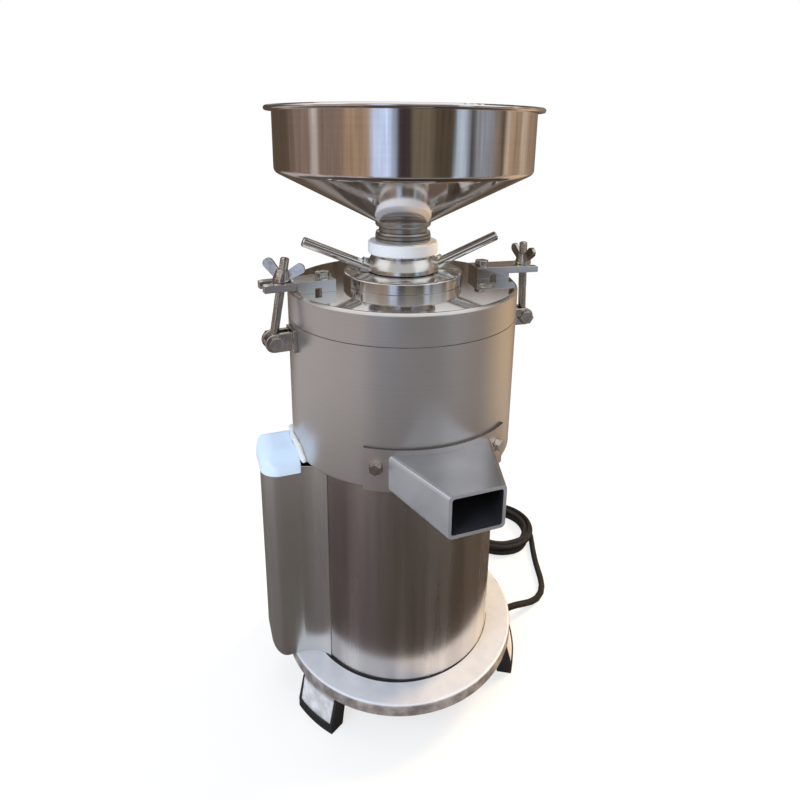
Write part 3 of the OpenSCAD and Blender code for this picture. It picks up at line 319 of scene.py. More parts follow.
CEILING_BANDS = [
    (-180, CEILING_WHITE), (-162, CEILING_WHITE), (-148, CEILING_DARK), (-112, CEILING_DARK),
    (-92, CEILING_WHITE), (-54, CEILING_WHITE), (-44, CEILING_GREY), (38, CEILING_GREY), (48, CEILING_WHITE),
    (92, CEILING_WHITE), (112, CEILING_DARK), (150, CEILING_DARK), (166, CEILING_WHITE),
    (180, CEILING_WHITE)]
ROOM_BACK = rgb(0.36, 0.33, 0.31)
ROOM_RADIUS = 2.4
ROOM_LOW, ROOM_HIGH = -1.6, 3.4
ROOM_SIDES = 96
# Heights between which one set of tones passes into the next
ROOM_TO_LOW = (0.1, -0.15)
ROOM_LOW_LIGHT = (-0.5, -0.85)
ROOM_TO_GROUND = (-0.98, -1.14)
ROOM_TO_CEILING = (1.07, 1.25)
ROOM_TO_BACK = (1.5, 1.9)
# Places on the line to the camera, as shares of the radius, between which the dark back sets in
ROOM_BACK_SIDE = (-0.2, -0.6)
ROOM_LOW_LIGHT_SHARE = 0.5
# Streaks are drawn out upwards, bend the bands to and fro and change their strength
ROOM_STRETCH = 0.15
ROOM_SWAY = math.radians(5)
ROOM_SWAY_SCALE = 4.0
ROOM_FINE_SCALE = 16.0
ROOM_FINE_RANGE = (0.3, 0.7)
ROOM_FINE_STREAKS = (0.62, 1.38)
CAMERA_SIDE = math.atan2(CAMERA_AT.y, CAMERA_AT.x)


def bands(g, way_round, tones):
    """Ramp of tones, each at its angle in degrees, by the way round from 0 to 1."""
    ramp = g.add("ShaderNodeValToRGB", {0: way_round})
    stops = ramp.color_ramp.elements
    while len(stops) < len(tones):
        stops.new(1.0)
    for stop, (degrees, tone) in zip(stops, tones):
        stop.position = (degrees + 180) / 360
        stop.color = tone
    return ramp.outputs[0]


def room_tone(g):
    """Tone of the room at each place on its wall or bottom."""
    turning = {"Vector": g.place(), "Angle": -CAMERA_SIDE}
    turned = g.add("ShaderNodeVectorRotate", turning, rotation_type="Z_AXIS").outputs[0]
    nearer, sideways, height = g.parts(turned)
    stretched = g.point(nearer, sideways, g.maths("MULTIPLY", height, ROOM_STRETCH))
    streak = g.clouds(stretched, ROOM_SWAY_SCALE, detail=3.0)
    sway = g.maths("MULTIPLY_ADD", streak, 2 * ROOM_SWAY, -ROOM_SWAY)
    angle = g.maths("ADD", g.maths("ARCTAN2", sideways, nearer), sway)
    way_round = g.maths("MULTIPLY_ADD", angle, 0.5 / math.pi, 0.5)
    walls, low_walls = (bands(g, way_round, tones) for tones in (ROOM_BANDS, LOW_BANDS))
    tone = g.mix(g.mask(height, *ROOM_TO_LOW), walls, low_walls)
    fine = g.clouds(stretched, ROOM_FINE_SCALE, detail=4.0, roughness=0.7)
    tone = g.tint(tone, g.span(g.mask(fine, *ROOM_FINE_RANGE), *ROOM_FINE_STREAKS))
    lighter = g.maths("MULTIPLY", g.mask(height, *ROOM_LOW_LIGHT), ROOM_LOW_LIGHT_SHARE)
    tone = g.mix(lighter, tone, LOW_STONE)
    tone = g.mix(g.mask(height, *ROOM_TO_GROUND), tone, bands(g, way_round, GROUND_BANDS))
    tone = g.mix(g.mask(height, *ROOM_TO_CEILING), tone, bands(g, way_round, CEILING_BANDS))
    behind = g.mask(g.maths("DIVIDE", nearer, ROOM_RADIUS), *ROOM_BACK_SIDE)
    return g.mix(g.maths("MULTIPLY", g.mask(height, *ROOM_TO_BACK), behind), tone, ROOM_BACK)


def make_room():
    mesh = bpy.data.meshes.new("room")
    n = ROOM_SIDES
    ring = [(ROOM_RADIUS * math.cos(2 * math.pi * i / n), ROOM_RADIUS * math.sin(2 * math.pi * i / n))
            for i in range(n)]
    points = [(x, y, z) for z in (ROOM_LOW, ROOM_HIGH) for x, y in ring]
    walls = [(i, n + i, n + (i + 1) % n, (i + 1) % n) for i in range(n)]
    mesh.from_pydata(points, [], walls + [tuple(range(n))])
    room = link_object("room", mesh)
    material, g = blank_material("room_tones")
    glow = g.add("ShaderNodeEmission", {"Color": room_tone(g), "Strength": 1.0})
    g.add("ShaderNodeOutputMaterial", {"Surface": glow.outputs[0]})
    material.cycles.emission_sampling = "NONE"
    mesh.materials.append(material)
    room.visible_camera = False
    room.visible_diffuse = False
    room.visible_transmission = False
    room.visible_shadow = False


make_floor()
make_world()
make_room()
make_lamp("left_lamp", at=(-1.7, -0.9, 1.7), aim=(0, 0, 0.3), size=1.2, power=36, colour=(0.74, 0.86, 1.0))
make_lamp("right_lamp", at=(1.3, 0.25, 0.9), aim=(0.12, 0.0, 0.0), size=0.6, power=5,
          colour=(1.0, 0.66, 0.3), spread=60)
make_lamp("top_lamp", at=(0.1, 0.3, 2.4), aim=(0, 0, 0.4), size=1.6, power=18, colour=(1.0, 1.0, 1.0))


# Shader groups
def shader_group(name, inputs, outputs):
    tree = bpy.data.node_groups.new(name, "ShaderNodeTree")
    for label, value in inputs.items():
        tree.interface.new_socket(label, in_out="INPUT", socket_type="NodeSocketFloat").default_value = value
    for label in outputs:
        tree.interface.new_socket(label, in_out="OUTPUT", socket_type="NodeSocketFloat")
    g = Graph(tree)
    return g, g.add("NodeGroupInput").outputs, g.add("NodeGroupOutput").inputs


def put_lines(g, wanted, across, place, patch_scale):
    """Puts out fine lines, which run where the given vector hardly changes, and soft patches of wear."""
    g.put(wanted["Lines"], g.clouds(across, 1.0, roughness=0.6))
    g.put(wanted["Patches"], g.clouds(place, patch_scale, detail=4.0))
    return g.tree


def build_turning():
    """Fine lines left by turning or polishing round the mill's axis."""
    sizes = {"Lines per metre": 900.0, "Drift": 3.0, "Patch scale": 14.0}
    g, given, wanted = shader_group("turning", sizes, ("Lines", "Patches"))
    place = g.place()
    x, y, z = g.parts(place)
    radius = g.maths("SQRT", g.maths("ADD", g.maths("MULTIPLY", x, x), g.maths("MULTIPLY", y, y)))
    across = g.point(g.maths("MULTIPLY", radius, given["Lines per metre"]),
                     g.maths("MULTIPLY", z, given["Lines per metre"]),
                     g.maths("MULTIPLY", x, given["Drift"]))
    return put_lines(g, wanted, across, place, given["Patch scale"])


def build_upright_brushing():
    """Streaks of a sheet brushed up and down."""
    sizes = {"Lines per metre": 700.0, "Along": 8.0, "Patch scale": 12.0}
    g, given, wanted = shader_group("upright_brushing", sizes, ("Lines", "Patches"))
    place = g.place()
    x, y, z = g.parts(place)
    across = g.point(g.maths("MULTIPLY", x, given["Lines per metre"]),
                     g.maths("MULTIPLY", y, given["Lines per metre"]),
                     g.maths("MULTIPLY", z, given["Along"]))
    return put_lines(g, wanted, across, place, given["Patch scale"])


def build_skin():
    """Grain of a moulded, cast or bonded surface, with a softer unevenness."""
    sizes = {"Grain scale": 900.0, "Uneven scale": 40.0}
    g, given, wanted = shader_group("skin", sizes, ("Grain", "Uneven"))
    place = g.place()
    g.put(wanted["Grain"], g.clouds(place, given["Grain scale"], detail=3.0))
    g.put(wanted["Uneven"], g.clouds(place, given["Uneven scale"], detail=5.0))
    return g.tree


TURNING = build_turning()
UPRIGHT = build_upright_brushing()
SKIN = build_skin()


# Materials
def new_material(name, metallic=0.0):
    material = bpy.data.materials.new(name)
    material.use_nodes = True
    shader = material.node_tree.nodes["Principled BSDF"].inputs
    shader["Metallic"].default_value = metallic
    return material, Graph(material.node_tree), shader


def place_group(g, tree, **sizes):
    """Places a shader group with its own sizes."""
    node = g.add("ShaderNodeGroup", node_tree=tree)
    for label, value in sizes.items():
        node.inputs[label.replace("_", " ").capitalize()].default_value = value
    return node.outputs


def add_bump(g, shader, height, strength, distance):
    raised = g.add("ShaderNodeBump", {"Strength": strength, "Distance": distance, "Height": height})
    g.put(shader["Normal"], raised.outputs[0])


LINE_BUMP = 0.04
LINE_DEPTH = 0.02
SATIN_LIGHT = rgb(0.88, 0.87, 0.86)
SATIN_DARK = rgb(0.80, 0.79, 0.78)
SATIN_ROUGHNESS = (0.26, 0.38)
SATIN_METALLIC = 0.92
MIRROR_ROUGHNESS = (0.03, 0.1)
GRAIN_BUMP = 0.2
GRAIN_DEPTH = 0.05
UNEVEN_SHARE = 0.5


def lined_metal(name, light, dark, roughness, group=TURNING, metallic=1.0, bump=LINE_BUMP, depth=LINE_DEPTH,
                **sizes):
    """Metal with lines: its colour and roughness run between two values."""
    material, g, shader = new_material(name, metallic)
    lines = place_group(g, group, **sizes)
    wear = g.mean(lines["Lines"], lines["Patches"])
    g.put(shader["Base Color"], g.mix(wear, dark, light))
    g.put(shader["Roughness"], g.span(wear, *roughness))
    add_bump(g, shader, lines["Lines"], bump, depth * MM)
    return material


def grained(name, light, dark, roughness, metallic=0.0, bump=GRAIN_BUMP, depth=GRAIN_DEPTH, **sizes):
    """Moulded, cast or bonded surface with grain."""
    material, g, shader = new_material(name, metallic)
    skin = place_group(g, SKIN, **sizes)
    g.put(shader["Base Color"], g.mix(skin["Uneven"], dark, light))
    g.put(shader["Roughness"], g.span(skin["Uneven"], *roughness))
    height = g.maths("MULTIPLY_ADD", skin["Uneven"], UNEVEN_SHARE, skin["Grain"])
    add_bump(g, shader, height, bump, depth * MM)
    return material


# Depths in millimetres under the lid's top between which the mirror polish passes into the satin skirt
LID_POLISH = (1.6, 0.3)


def lid_steel():
    """Satin skirt like the chamber's wall, mirror-polished top."""
    top_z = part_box("lid")[1].z
    material, g, shader = new_material("lid_steel")
    lines = place_group(g, TURNING)
    wear = g.mean(lines["Lines"], lines["Patches"])
    top = g.mask(g.parts(g.place())[2], *(top_z - depth * MM for depth in LID_POLISH))
    g.put(shader["Base Color"], g.mix(wear, SATIN_DARK, SATIN_LIGHT))
    g.put(shader["Roughness"], g.span(top, g.span(wear, *SATIN_ROUGHNESS), g.span(wear, *MIRROR_ROUGHNESS)))
    g.put(shader["Metallic"], g.span(top, SATIN_METALLIC, 1.0))
    add_bump(g, shader, lines["Lines"], LINE_BUMP, LINE_DEPTH * MM)
    return material


SHEET_BRUSHING = {"lines_per_metre": 260.0, "along": 3.0}
SHEET_BUMP = 0.02
SHEET_ROUGHNESS = (0.2, 0.3)
# Streaks per metre across and along the rolled sheet, and the range of noise that they span
ROLLED_STREAKS = (34.0, 34.0, 1.5)
ROLLED_RANGE = (0.36, 0.66)
ROLLED_SHARE = 0.7


def shell_steel():
    """Brushed sheet with broad upright streaks, as rolled sheet has."""
    material, g, shader = new_material("shell_steel", metallic=0.97)
    brushing = place_group(g, UPRIGHT, **SHEET_BRUSHING)
    upright = g.add("ShaderNodeMapping", {"Vector": g.place(), "Scale": ROLLED_STREAKS}).outputs[0]
    broad = g.mask(g.clouds(upright, 1.0), *ROLLED_RANGE)
    wear = g.mean(brushing["Lines"], brushing["Patches"])
    tone = g.maths("MULTIPLY_ADD", broad, ROLLED_SHARE, g.maths("MULTIPLY", wear, 1 - ROLLED_SHARE))
    g.put(shader["Base Color"], g.mix(tone, rgb(0.72, 0.69, 0.67), rgb(0.93, 0.91, 0.89)))
    g.put(shader["Roughness"], g.span(tone, *SHEET_ROUGHNESS))
    add_bump(g, shader, brushing["Lines"], SHEET_BUMP, LINE_DEPTH * MM)
    return material


# Depths in millimetres under the base's top at which its rough rim and its legs begin
RIM_DEPTHS = (0.7, 1.6)
LEG_DEPTHS = (14, 18)
MOTTLE_RANGE = (0.35, 0.65)
# Width in millimetres of the painted shadow, a dark ring round the shell's foot, on its right and on its left
FOOT_SHADOW_WIDTHS = (0.5, 2.4)
FOOT_SHADOW_SIDE = 0.06
CAST_ROUGHNESS = (0.34, 0.6)
CAST_UNEVEN_SHARE = 0.8
CAST_BUMP = 0.6
CAST_DEPTHS = (0.05 * MM, 0.8 * MM)


def cast_aluminium():
    """Machined top, rough darker rim, pale mottled legs, a painted highlight along the rounded edges and a painted
    shadow round the shell's foot.
    """
    top_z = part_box("base_casting")[1].z
    shell_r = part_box("motor_shell")[1].y
    material, g, shader = new_material("cast_aluminium", metallic=0.4)
    skin = place_group(g, SKIN, grain_scale=700.0, uneven_scale=90.0)
    edge = g.mark("edge")
    x, y, z = g.parts(g.place())
    rim, leg = (g.mask(z, *(top_z - depth * MM for depth in depths)) for depths in (RIM_DEPTHS, LEG_DEPTHS))
    mottle = g.mask(skin["Uneven"], *MOTTLE_RANGE)
    machined = g.mix(skin["Uneven"], rgb(0.83, 0.85, 0.90), rgb(0.92, 0.93, 0.96))
    rim_cast = g.mix(mottle, rgb(0.50, 0.47, 0.46), rgb(0.70, 0.67, 0.66))
    leg_cast = g.mix(mottle, rgb(0.82, 0.82, 0.84), rgb(0.97, 0.97, 0.98))
    metal = g.mix(rim, machined, g.mix(leg, rim_cast, leg_cast))
    # Painted highlight: near-white patches along the rounded edges
    metal = g.mix(g.maths("MULTIPLY", edge, mottle), metal, rgb(0.97, 0.97, 0.98))
    radius = g.add("ShaderNodeVectorMath", {0: g.point(x, y, 0.0)}, operation="LENGTH").outputs["Value"]
    # Painted shadow: a near-black ring on the base round the shell's foot, wider on the left
    shadow_width = g.span(g.mask(x, FOOT_SHADOW_SIDE, -FOOT_SHADOW_SIDE), *(width * MM for width in FOOT_SHADOW_WIDTHS))
    past_shadow = g.maths("GREATER_THAN", radius, g.maths("ADD", shadow_width, shell_r))
    g.put(shader["Base Color"], g.mix(past_shadow, rgb(0.10, 0.10, 0.12), metal))
    g.put(shader["Roughness"], g.span(rim, *CAST_ROUGHNESS))
    height = g.maths("MULTIPLY_ADD", skin["Uneven"], CAST_UNEVEN_SHARE, skin["Grain"])
    add_bump(g, shader, height, CAST_BUMP, g.span(g.maths("MAXIMUM", rim, edge), *CAST_DEPTHS))
    return material


# Metallic share of the spout's sheet, of its smooth faces, and of its worn edges with their painted highlight and
# its inside with its painted shade
SPOUT_SHEET, SPOUT_SMOOTH, SPOUT_DULL = 0.8, 0.94, 0.2
SPOUT_ROUGHNESS = (0.26, 0.42)
SPOUT_TOP_ROUGHNESS_SHARE = 0.55
SPOUT_BUMP = 0.06


def spout_metal():
    """Satin sheet: worn along its edges with a painted highlight there, smoother on top with painted shade,
    painted shade inside, sealed along its saddle.
    """
    material, g, shader = new_material("spout_metal")
    skin = place_group(g, SKIN, grain_scale=1400.0, uneven_scale=26.0)
    edge, top, inside, saddle, seam = (g.mark(face) for face in ("edge", "top", "inside", "saddle", "seam"))
    patches = skin["Uneven"]
    sheet = g.mix(patches, rgb(0.78, 0.79, 0.82), rgb(0.94, 0.95, 0.98))
    # Painted shade: the upward faces are darker than the rest of the sheet
    shaded_top = g.mix(patches, rgb(0.60, 0.62, 0.66), rgb(0.80, 0.81, 0.84))
    satin = g.mix(patches, rgb(0.80, 0.78, 0.77), rgb(0.90, 0.88, 0.87))
    # Painted shade: the inner faces of the spout's channel are near-black
    inner_shade = g.mix(patches, rgb(0.20, 0.20, 0.22), rgb(0.27, 0.27, 0.29))
    # Painted highlight: the worn edges are pure white
    edges_worn_and_highlit = g.mix(edge, g.mix(top, sheet, shaded_top), rgb(1.0, 1.0, 1.0))
    outside = g.mix(seam, g.mix(saddle, edges_worn_and_highlit, satin), rgb(0.44, 0.42, 0.41))
    g.put(shader["Base Color"], g.mix(inside, outside, inner_shade))
    faces = g.span(g.maths("MAXIMUM", saddle, top), SPOUT_SHEET, SPOUT_SMOOTH)
    g.put(shader["Metallic"], g.span(inside, g.span(edge, faces, SPOUT_DULL), SPOUT_DULL))
    smoother = g.span(top, 1.0, SPOUT_TOP_ROUGHNESS_SHARE)
    g.put(shader["Roughness"], g.maths("MULTIPLY", g.span(patches, *SPOUT_ROUGHNESS), smoother))
    add_bump(g, shader, skin["Grain"], SPOUT_BUMP, GRAIN_DEPTH * MM)
    return material


LINED_METALS = {
    "hopper_steel": dict(light=rgb(0.96, 0.94, 0.93), dark=rgb(0.88, 0.86, 0.85), roughness=(0.05, 0.12),
                         lines_per_metre=400.0, drift=6.0, bump=0.02),
    "chamber_steel": dict(light=SATIN_LIGHT, dark=SATIN_DARK, roughness=SATIN_ROUGHNESS,
                          metallic=SATIN_METALLIC),
    "box_steel": dict(light=rgb(0.92, 0.91, 0.89), dark=rgb(0.84, 0.83, 0.81), roughness=SHEET_ROUGHNESS,
                      group=UPRIGHT, metallic=SATIN_METALLIC, bump=SHEET_BUMP, **SHEET_BRUSHING),
    "polished_steel": dict(light=rgb(0.95, 0.95, 0.95), dark=rgb(0.89, 0.89, 0.89), roughness=(0.06, 0.16),
                           lines_per_metre=1400.0, bump=0.02),
    "hub_steel": dict(light=rgb(0.93, 0.93, 0.92), dark=rgb(0.84, 0.84, 0.83), roughness=(0.14, 0.28),
                      lines_per_metre=1200.0),
    "neck_steel": dict(light=rgb(0.80, 0.80, 0.79), dark=rgb(0.66, 0.66, 0.65), roughness=(0.24, 0.4),
                       lines_per_metre=1500.0, bump=0.1),
    "machined_steel": dict(light=rgb(0.82, 0.82, 0.82), dark=rgb(0.72, 0.72, 0.72), roughness=(0.2, 0.35),
                           lines_per_metre=1600.0),
    "laminated_iron": dict(light=rgb(0.42, 0.42, 0.44), dark=rgb(0.22, 0.22, 0.24), roughness=(0.4, 0.6),
                           lines_per_metre=1800.0, drift=0.1, bump=0.5, depth=0.2),
    "winding_copper": dict(light=rgb(0.80, 0.50, 0.28), dark=rgb(0.52, 0.28, 0.15), roughness=(0.3, 0.5),
                           lines_per_metre=1100.0, bump=0.6, depth=0.3),
}
GRAINED = {
    "zinc_steel": dict(light=rgb(0.92, 0.90, 0.87), dark=rgb(0.62, 0.60, 0.57), roughness=(0.08, 0.24),
                       metallic=1.0, grain_scale=110.0, uneven_scale=60.0, bump=0.6, depth=1.0),
    "bolt_nickel": dict(light=rgb(0.96, 0.95, 0.93), dark=rgb(0.64, 0.63, 0.62), roughness=(0.08, 0.2),
                        metallic=1.0, grain_scale=300.0, uneven_scale=120.0, bump=0.2, depth=0.2),
    "plug_brass": dict(light=rgb(0.88, 0.80, 0.56), dark=rgb(0.76, 0.66, 0.42), roughness=(0.2, 0.35),
                       metallic=1.0),
    "foot_rubber": dict(light=rgb(0.18, 0.18, 0.19), dark=rgb(0.10, 0.10, 0.10), roughness=(0.55, 0.8),
                        grain_scale=500.0),
    "seal_rubber": dict(light=rgb(0.30, 0.29, 0.28), dark=rgb(0.20, 0.19, 0.18), roughness=(0.5, 0.75),
                        grain_scale=600.0),
    "cap_plastic": dict(light=rgb(0.82, 0.89, 0.97), dark=rgb(0.78, 0.86, 0.95), roughness=(0.3, 0.42),
                        grain_scale=1200.0, bump=0.06),
    "seal_plastic": dict(light=rgb(0.92, 0.92, 0.92), dark=rgb(0.80, 0.81, 0.82), roughness=(0.4, 0.6),
                         grain_scale=300.0, uneven_scale=160.0, bump=0.4, depth=0.4),
    "capacitor_case": dict(light=rgb(0.24, 0.24, 0.26), dark=rgb(0.16, 0.16, 0.17), roughness=(0.4, 0.6)),
    "fan_plastic": dict(light=rgb(0.20, 0.20, 0.20), dark=rgb(0.13, 0.13, 0.13), roughness=(0.45, 0.65)),
    "grindstone": dict(light=rgb(0.80, 0.78, 0.74), dark=rgb(0.55, 0.53, 0.49), roughness=(0.8, 0.95),
                       grain_scale=500.0, uneven_scale=220.0, bump=0.8, depth=0.5),
    "nylon": dict(light=rgb(0.99, 0.99, 1.0), dark=rgb(0.96, 0.96, 0.985), roughness=(0.35, 0.5), bump=0.05),
    "cord_sheath": dict(light=rgb(0.14, 0.13, 0.13), dark=rgb(0.08, 0.07, 0.07), roughness=(0.4, 0.6),
                        grain_scale=1500.0),
    "plug_plastic": dict(light=rgb(0.16, 0.16, 0.17), dark=rgb(0.10, 0.10, 0.11), roughness=(0.4, 0.6),
                         grain_scale=1500.0),
}
MATERIALS = {"lid_steel": lid_steel(), "shell_steel": shell_steel(), "cast_aluminium": cast_aluminium(),
             "spout_metal": spout_metal()}
MATERIALS.update((name, lined_metal(name, **look)) for name, look in LINED_METALS.items())
MATERIALS.update((name, grained(name, **look)) for name, look in GRAINED.items())
# Nodes whose finish differs from that of their slot
NODE_FINISH = {"lid": "lid_steel", "side_box": "box_steel", "spout_bolts": "bolt_nickel",
               "adjuster_hub": "hub_steel", "hopper_neck": "neck_steel"}


def finish_of(node):
    return MATERIALS[NODE_FINISH.get(node, SLOT_OF[node])]


def dress(node):
    """Gives a CAD node its material."""
    for slot in NODES[node].material_slots:
        slot.link = "OBJECT"
        slot.material = finish_of(node)


for cad_node in NODES:
    dress(cad_node)


# Pieces with finer edges than the CAD nodes that they stand for
MERGE_WITHIN = 2e-6
FLAT_WITHIN = math.radians(0.4)
SHARP = math.radians(30)
EDGE_MARK = 1


def settle(piece):
    """Turns a piece and its modifiers into a plain mesh."""
    evaluated = piece.evaluated_get(bpy.context.evaluated_depsgraph_get())
    mesh = bpy.data.meshes.new_from_object(evaluated)
    piece.modifiers.clear()
    piece.data = mesh
    return mesh


def stand_for(piece, node):
    """Lets a piece ride, take the finish of a CAD node and stand for it."""
    piece.data.materials.clear()
    piece.data.materials.append(finish_of(node))
    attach(piece, BODY_OF[node])
    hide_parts(node)


def clean_mesh(node, name):
    """Copy of a CAD node's mesh with joined vertices and whole flat faces."""
    mesh = NODES[node].data.copy()
    mesh.name = name
    if "custom_normal" in mesh.attributes:
        mesh.attributes.remove(mesh.attributes["custom_normal"])
    form = bmesh.new()
    form.from_mesh(mesh)
    bmesh.ops.remove_doubles(form, verts=form.verts, dist=MERGE_WITHIN)
    bmesh.ops.dissolve_limit(form, angle_limit=FLAT_WITHIN, verts=form.verts, edges=form.edges)
    form.to_mesh(mesh)
    form.free()
    return mesh


def mark_faces(mesh, name, values):
    marks = mesh.attributes.new(name, "FLOAT", "FACE")
    marks.data.foreach_set("value", [float(value) for value in values])


def finished_edges(node, width, steps=2):
    """Copy of a CAD node with rounded edges, which an attribute marks for wear and painted highlights, and smooth
    faces.
    """
    name = node + "_finish"
    mesh = clean_mesh(node, name)
    mesh.shade_smooth()
    mesh.set_sharp_from_angle(angle=SHARP)
    piece = link_object(name, mesh)
    edge = piece.modifiers.new("edges", "BEVEL")
    edge.width = width * MM
    edge.segments = steps
    edge.limit_method = "ANGLE"
    edge.angle_limit = SHARP
    edge.material = EDGE_MARK
    flat = piece.modifiers.new("flat_faces", "WEIGHTED_NORMAL")
    flat.keep_sharp = True
    mesh.materials.append(None)
    mesh = settle(piece)
    mark_faces(mesh, "edge", [f.material_index == EDGE_MARK for f in mesh.polygons])
    mesh.polygons.foreach_set("material_index", [0] * len(mesh.polygons))
    stand_for(piece, node)
    return piece


# Width in millimetres of each node's rounded edges
EDGES = {
    "clamp_fork_left": 0.8, "clamp_fork_right": 0.8, "hinge_bracket_left": 0.7, "hinge_bracket_right": 0.7,
    "hinge_pin_left": 0.5, "hinge_pin_right": 0.5, "fork_screws": 0.6, "boss_screws": 0.3,
    "spout_bolts": 0.5, "wing_nut_left": 0.7, "wing_nut_right": 0.7, "swing_bolt_left": 0.5,
    "swing_bolt_right": 0.5, "lid_boss": 0.5, "adjuster_hub": 0.6, "handle_left": 0.4, "handle_right": 0.4,
    "nylon_collar": 0.4, "rubber_feet": 0.8, "base_casting": 0.8, "grinding_chamber": 0.4, "lid": 0.4,
    "side_box": 0.5, "plug_body": 0.5, "plug_pins": 0.3, "cord_tie": 0.3,
}
for cad_node, edge_width in EDGES.items():
    finished_edges(cad_node, edge_width)

SPOUT_EDGE = 0.9
SPOUT_EDGE_STEPS = 3
SADDLE_REACH = 4 * MM
# An inner face sees another: how far from the face the ray starts that looks for it
RAY_START = 0.05 * MM
# Least upward part of a face's normal on the top and along the seam
TOP_UPWARD = 0.7
SEAM_UPWARD = 0.25


def make_spout():
    """Spout with marks on its upper faces, its saddle, the saddle's seam and the inner faces."""
    mesh = finished_edges("spout", SPOUT_EDGE, SPOUT_EDGE_STEPS).data
    faces = mesh.polygons
    tree = BVHTree.FromPolygons([v.co for v in mesh.vertices], [f.vertices for f in faces])
    seen_points = [tree.ray_cast(f.center + f.normal * RAY_START, f.normal)[0] for f in faces]
    saddle_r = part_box("grinding_chamber")[1].y + SADDLE_REACH
    on_saddle = [f.center.xy.length < saddle_r for f in faces]
    mark_faces(mesh, "inside", [point is not None for point in seen_points])
    mark_faces(mesh, "top", [f.normal.z > TOP_UPWARD for f in faces])
    mark_faces(mesh, "saddle", on_saddle)
    mark_faces(mesh, "seam", [on and f.normal.z > SEAM_UPWARD for on, f in zip(on_saddle, faces)])


def even_skin(node, name, size):
    """Copy of a CAD node that is given an even skin of small faces."""
    piece = link_object(name, clean_mesh(node, name))
    even = piece.modifiers.new("even", "REMESH")
    even.mode = "VOXEL"
    even.voxel_size = size * MM
    return piece


CAP_FACE = 0.8
CAP_SOFTNESS = 0.5
CAP_SOFT_STEPS = 12
SEAL_FACE = 0.7
SEAL_SWELL = 0.5
# Folds per metre and their height in millimetres
SEAL_FOLDS = ((110, 1.3), (320, 0.7))


def make_cap():
    """Moulded cap with a soft, even dome."""
    piece = even_skin("box_cap", "cap_dome", CAP_FACE)
    soft = piece.modifiers.new("soft", "SMOOTH")
    soft.factor = CAP_SOFTNESS
    soft.iterations = CAP_SOFT_STEPS
    settle(piece).shade_smooth()
    stand_for(piece, "box_cap")


def make_seal():
    """Soft seal, pressed by hand into the gap, so its surface is crumpled."""
    piece = even_skin("cap_seal", "crumpled_seal", SEAL_FACE)
    mesh = settle(piece)
    for vertex in mesh.vertices:
        lift = SEAL_SWELL + sum(noise.noise(vertex.co * folds) * height for folds, height in SEAL_FOLDS)
        vertex.co += vertex.normal * lift * MM
    mesh.shade_smooth()
    stand_for(piece, "cap_seal")


make_spout()
make_cap()
make_seal()


# Repeated detail: screw threads and the ribs of the cord's boots
def geometry_tree(name, lengths, counts=()):
    """Geometry tree with named inputs for its lengths and counts."""
    tree = bpy.data.node_groups.new(name, "GeometryNodeTree")
    for label in counts:
        tree.interface.new_socket(label, in_out="INPUT", socket_type="NodeSocketInt")
    for label in lengths:
        tree.interface.new_socket(label, in_out="INPUT", socket_type="NodeSocketFloat")
    tree.interface.new_socket("Geometry", in_out="OUTPUT", socket_type="NodeSocketGeometry")
    g = Graph(tree)
    return g, g.add("NodeGroupInput").outputs, g.add("NodeGroupOutput").inputs


def finish_tree(g, shape, wanted, material):
    real = g.add("GeometryNodeRealizeInstances", {"Geometry": shape})
    dressed = g.add("GeometryNodeSetMaterial", {"Geometry": real.outputs[0], "Material": material})
    g.put(wanted["Geometry"], dressed.outputs[0])
    return g.tree


THREAD_STEPS, THREAD_SIDES = 24, 6
RIB_STEPS, RIB_SIDES = 40, 8


def thread_tree(material):
    """Spiral ridge round +Z."""
    g, given, wanted = geometry_tree("screw_thread", ("Length", "Pitch", "Radius", "Ridge"))
    spiral = g.add("GeometryNodeCurveSpiral", {
        "Resolution": THREAD_STEPS, "Rotations": g.maths("DIVIDE", given["Length"], given["Pitch"]),
        "Start Radius": given["Radius"], "End Radius": given["Radius"], "Height": given["Length"]})
    section = g.add("GeometryNodeCurvePrimitiveCircle", {
        "Resolution": THREAD_SIDES, "Radius": given["Ridge"]})
    ridge = g.add("GeometryNodeCurveToMesh", {
        "Curve": spiral.outputs[0], "Profile Curve": section.outputs[0], "Fill Caps": True})
    return finish_tree(g, ridge.outputs[0], wanted, material)


def rib_tree(material):
    """Row of rings along +Z whose radius runs from the first to the last."""
    lengths = ("Spacing", "First radius", "Last radius", "Ridge")
    g, given, wanted = geometry_tree("boot_ribs", lengths, counts=("Count",))
    step = g.point(0.0, 0.0, given["Spacing"])
    row = g.add("GeometryNodeMeshLine", {"Count": given["Count"], "Offset": step})
    index = g.add("GeometryNodeInputIndex").outputs[0]
    way = g.maths("DIVIDE", index, g.maths("SUBTRACT", given["Count"], 1.0))
    radius = g.span(way, given["First radius"], given["Last radius"])
    circle = g.add("GeometryNodeCurvePrimitiveCircle", {"Resolution": RIB_STEPS, "Radius": 1.0})
    section = g.add("GeometryNodeCurvePrimitiveCircle", {
        "Resolution": RIB_SIDES, "Radius": g.maths("DIVIDE", given["Ridge"], given["First radius"])})
    ring = g.add("GeometryNodeCurveToMesh", {
        "Curve": circle.outputs[0], "Profile Curve": section.outputs[0]})
    rings = g.add("GeometryNodeInstanceOnPoints", {
        "Points": row.outputs[0], "Instance": ring.outputs[0], "Scale": radius})
    return finish_tree(g, rings.outputs[0], wanted, material)


def from_tree(name, tree, sizes, place, node):
    """Makes a piece from a geometry tree, puts it in its place and lets it ride with a CAD node."""
    piece = link_object(name, bpy.data.meshes.new(name))
    shape = piece.modifiers.new("shape", "NODES")
    for item in tree.interface.items_tree:
        if item.in_out == "INPUT":
            shape[item.identifier] = sizes[item.name]
    shape.node_group = tree
    mesh = settle(piece)
    mesh.transform(place)
    mesh.shade_smooth()
    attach(piece, BODY_OF[node])


def along(start, direction):
    """Place with +Z along a direction."""
    return Matrix.Translation(start) @ direction.to_track_quat("Z", "Y").to_matrix().to_4x4()


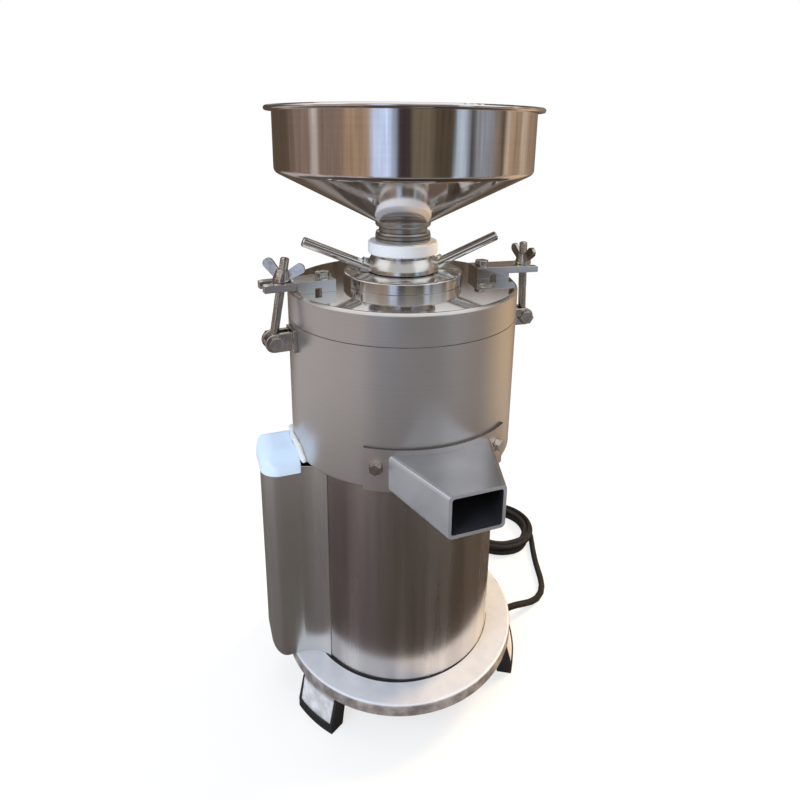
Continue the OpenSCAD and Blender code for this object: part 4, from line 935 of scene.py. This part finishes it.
BOLT_RADIUS = 4.0 * MM
BOLT_LENGTH = 80 * MM
BOLT_END = 1.5 * MM
NUT_HEIGHT = 11 * MM
NUT_GAP = 0.7 * MM
THREAD_UNDER_NUT = 24 * MM
THREAD_PITCH = 1.5 * MM
THREAD_RIDGE = 0.5 * MM
THREAD_SINK = 0.2 * MM
THREAD_TREE = thread_tree(MATERIALS["zinc_steel"])


def make_threads(side):
    """Thread of a swing bolt: the stub above its wing nut and a stretch below it."""
    joint = JOINTS["wing_nut_turn_" + side]
    axis = Vector(joint["axis"])
    eye = Vector(joint["pos_m"])
    nut = NODES["wing_nut_" + side]
    nut_foot = min((nut.matrix_world @ v.co - eye).dot(axis) for v in nut.data.vertices)
    stretches = {"stub": (nut_foot + NUT_HEIGHT + NUT_GAP, BOLT_LENGTH - BOLT_END),
                 "shank": (nut_foot - NUT_GAP - THREAD_UNDER_NUT, nut_foot - NUT_GAP)}
    for name, (low, high) in stretches.items():
        sizes = {"Length": high - low, "Pitch": THREAD_PITCH, "Radius": BOLT_RADIUS - THREAD_SINK,
                 "Ridge": THREAD_RIDGE}
        place = along(eye + axis * low, axis)
        from_tree("bolt_thread_%s_%s" % (name, side), THREAD_TREE, sizes, place, "swing_bolt_" + side)


for clamp_side in ("left", "right"):
    make_threads(clamp_side)

BOOT_RIB = 0.6
RIB_TREE = rib_tree(MATERIALS["plug_plastic"])


def level_way(start, end):
    """Level direction from one point of the cord's route to the next."""
    return (Vector(end).xy - Vector(start).xy).normalized().to_3d()


def make_ribs(name, node, end, way, offset, count, spacing, first, last):
    """Ribs of a boot, with sizes in millimetres, from an offset along the cord past the end of its route."""
    sizes = {"Count": count, "Spacing": spacing * MM, "First radius": first * MM, "Last radius": last * MM,
             "Ridge": BOOT_RIB * MM}
    from_tree(name, RIB_TREE, sizes, along((Vector(end) + way * offset) * MM, way), node)


make_ribs("strain_relief_ribs", "strain_relief", end=CORD_ROUTE[0], way=level_way(*CORD_ROUTE[:2]),
          offset=-22, count=7, spacing=3.2, first=5.0, last=4.5)
make_ribs("plug_boot_ribs", "plug_body", end=PLUG_ROUTE[-1], way=level_way(*PLUG_ROUTE[-2:]),
          offset=1.8, count=4, spacing=3.4, first=5.1, last=6.2)

# Cord and the pieces on it
mains_cord.data.materials.append(MATERIALS["cord_sheath"])
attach(mains_cord, BODY_OF["power_cord"])
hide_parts("power_cord", "cord_coil", "plug_lead")
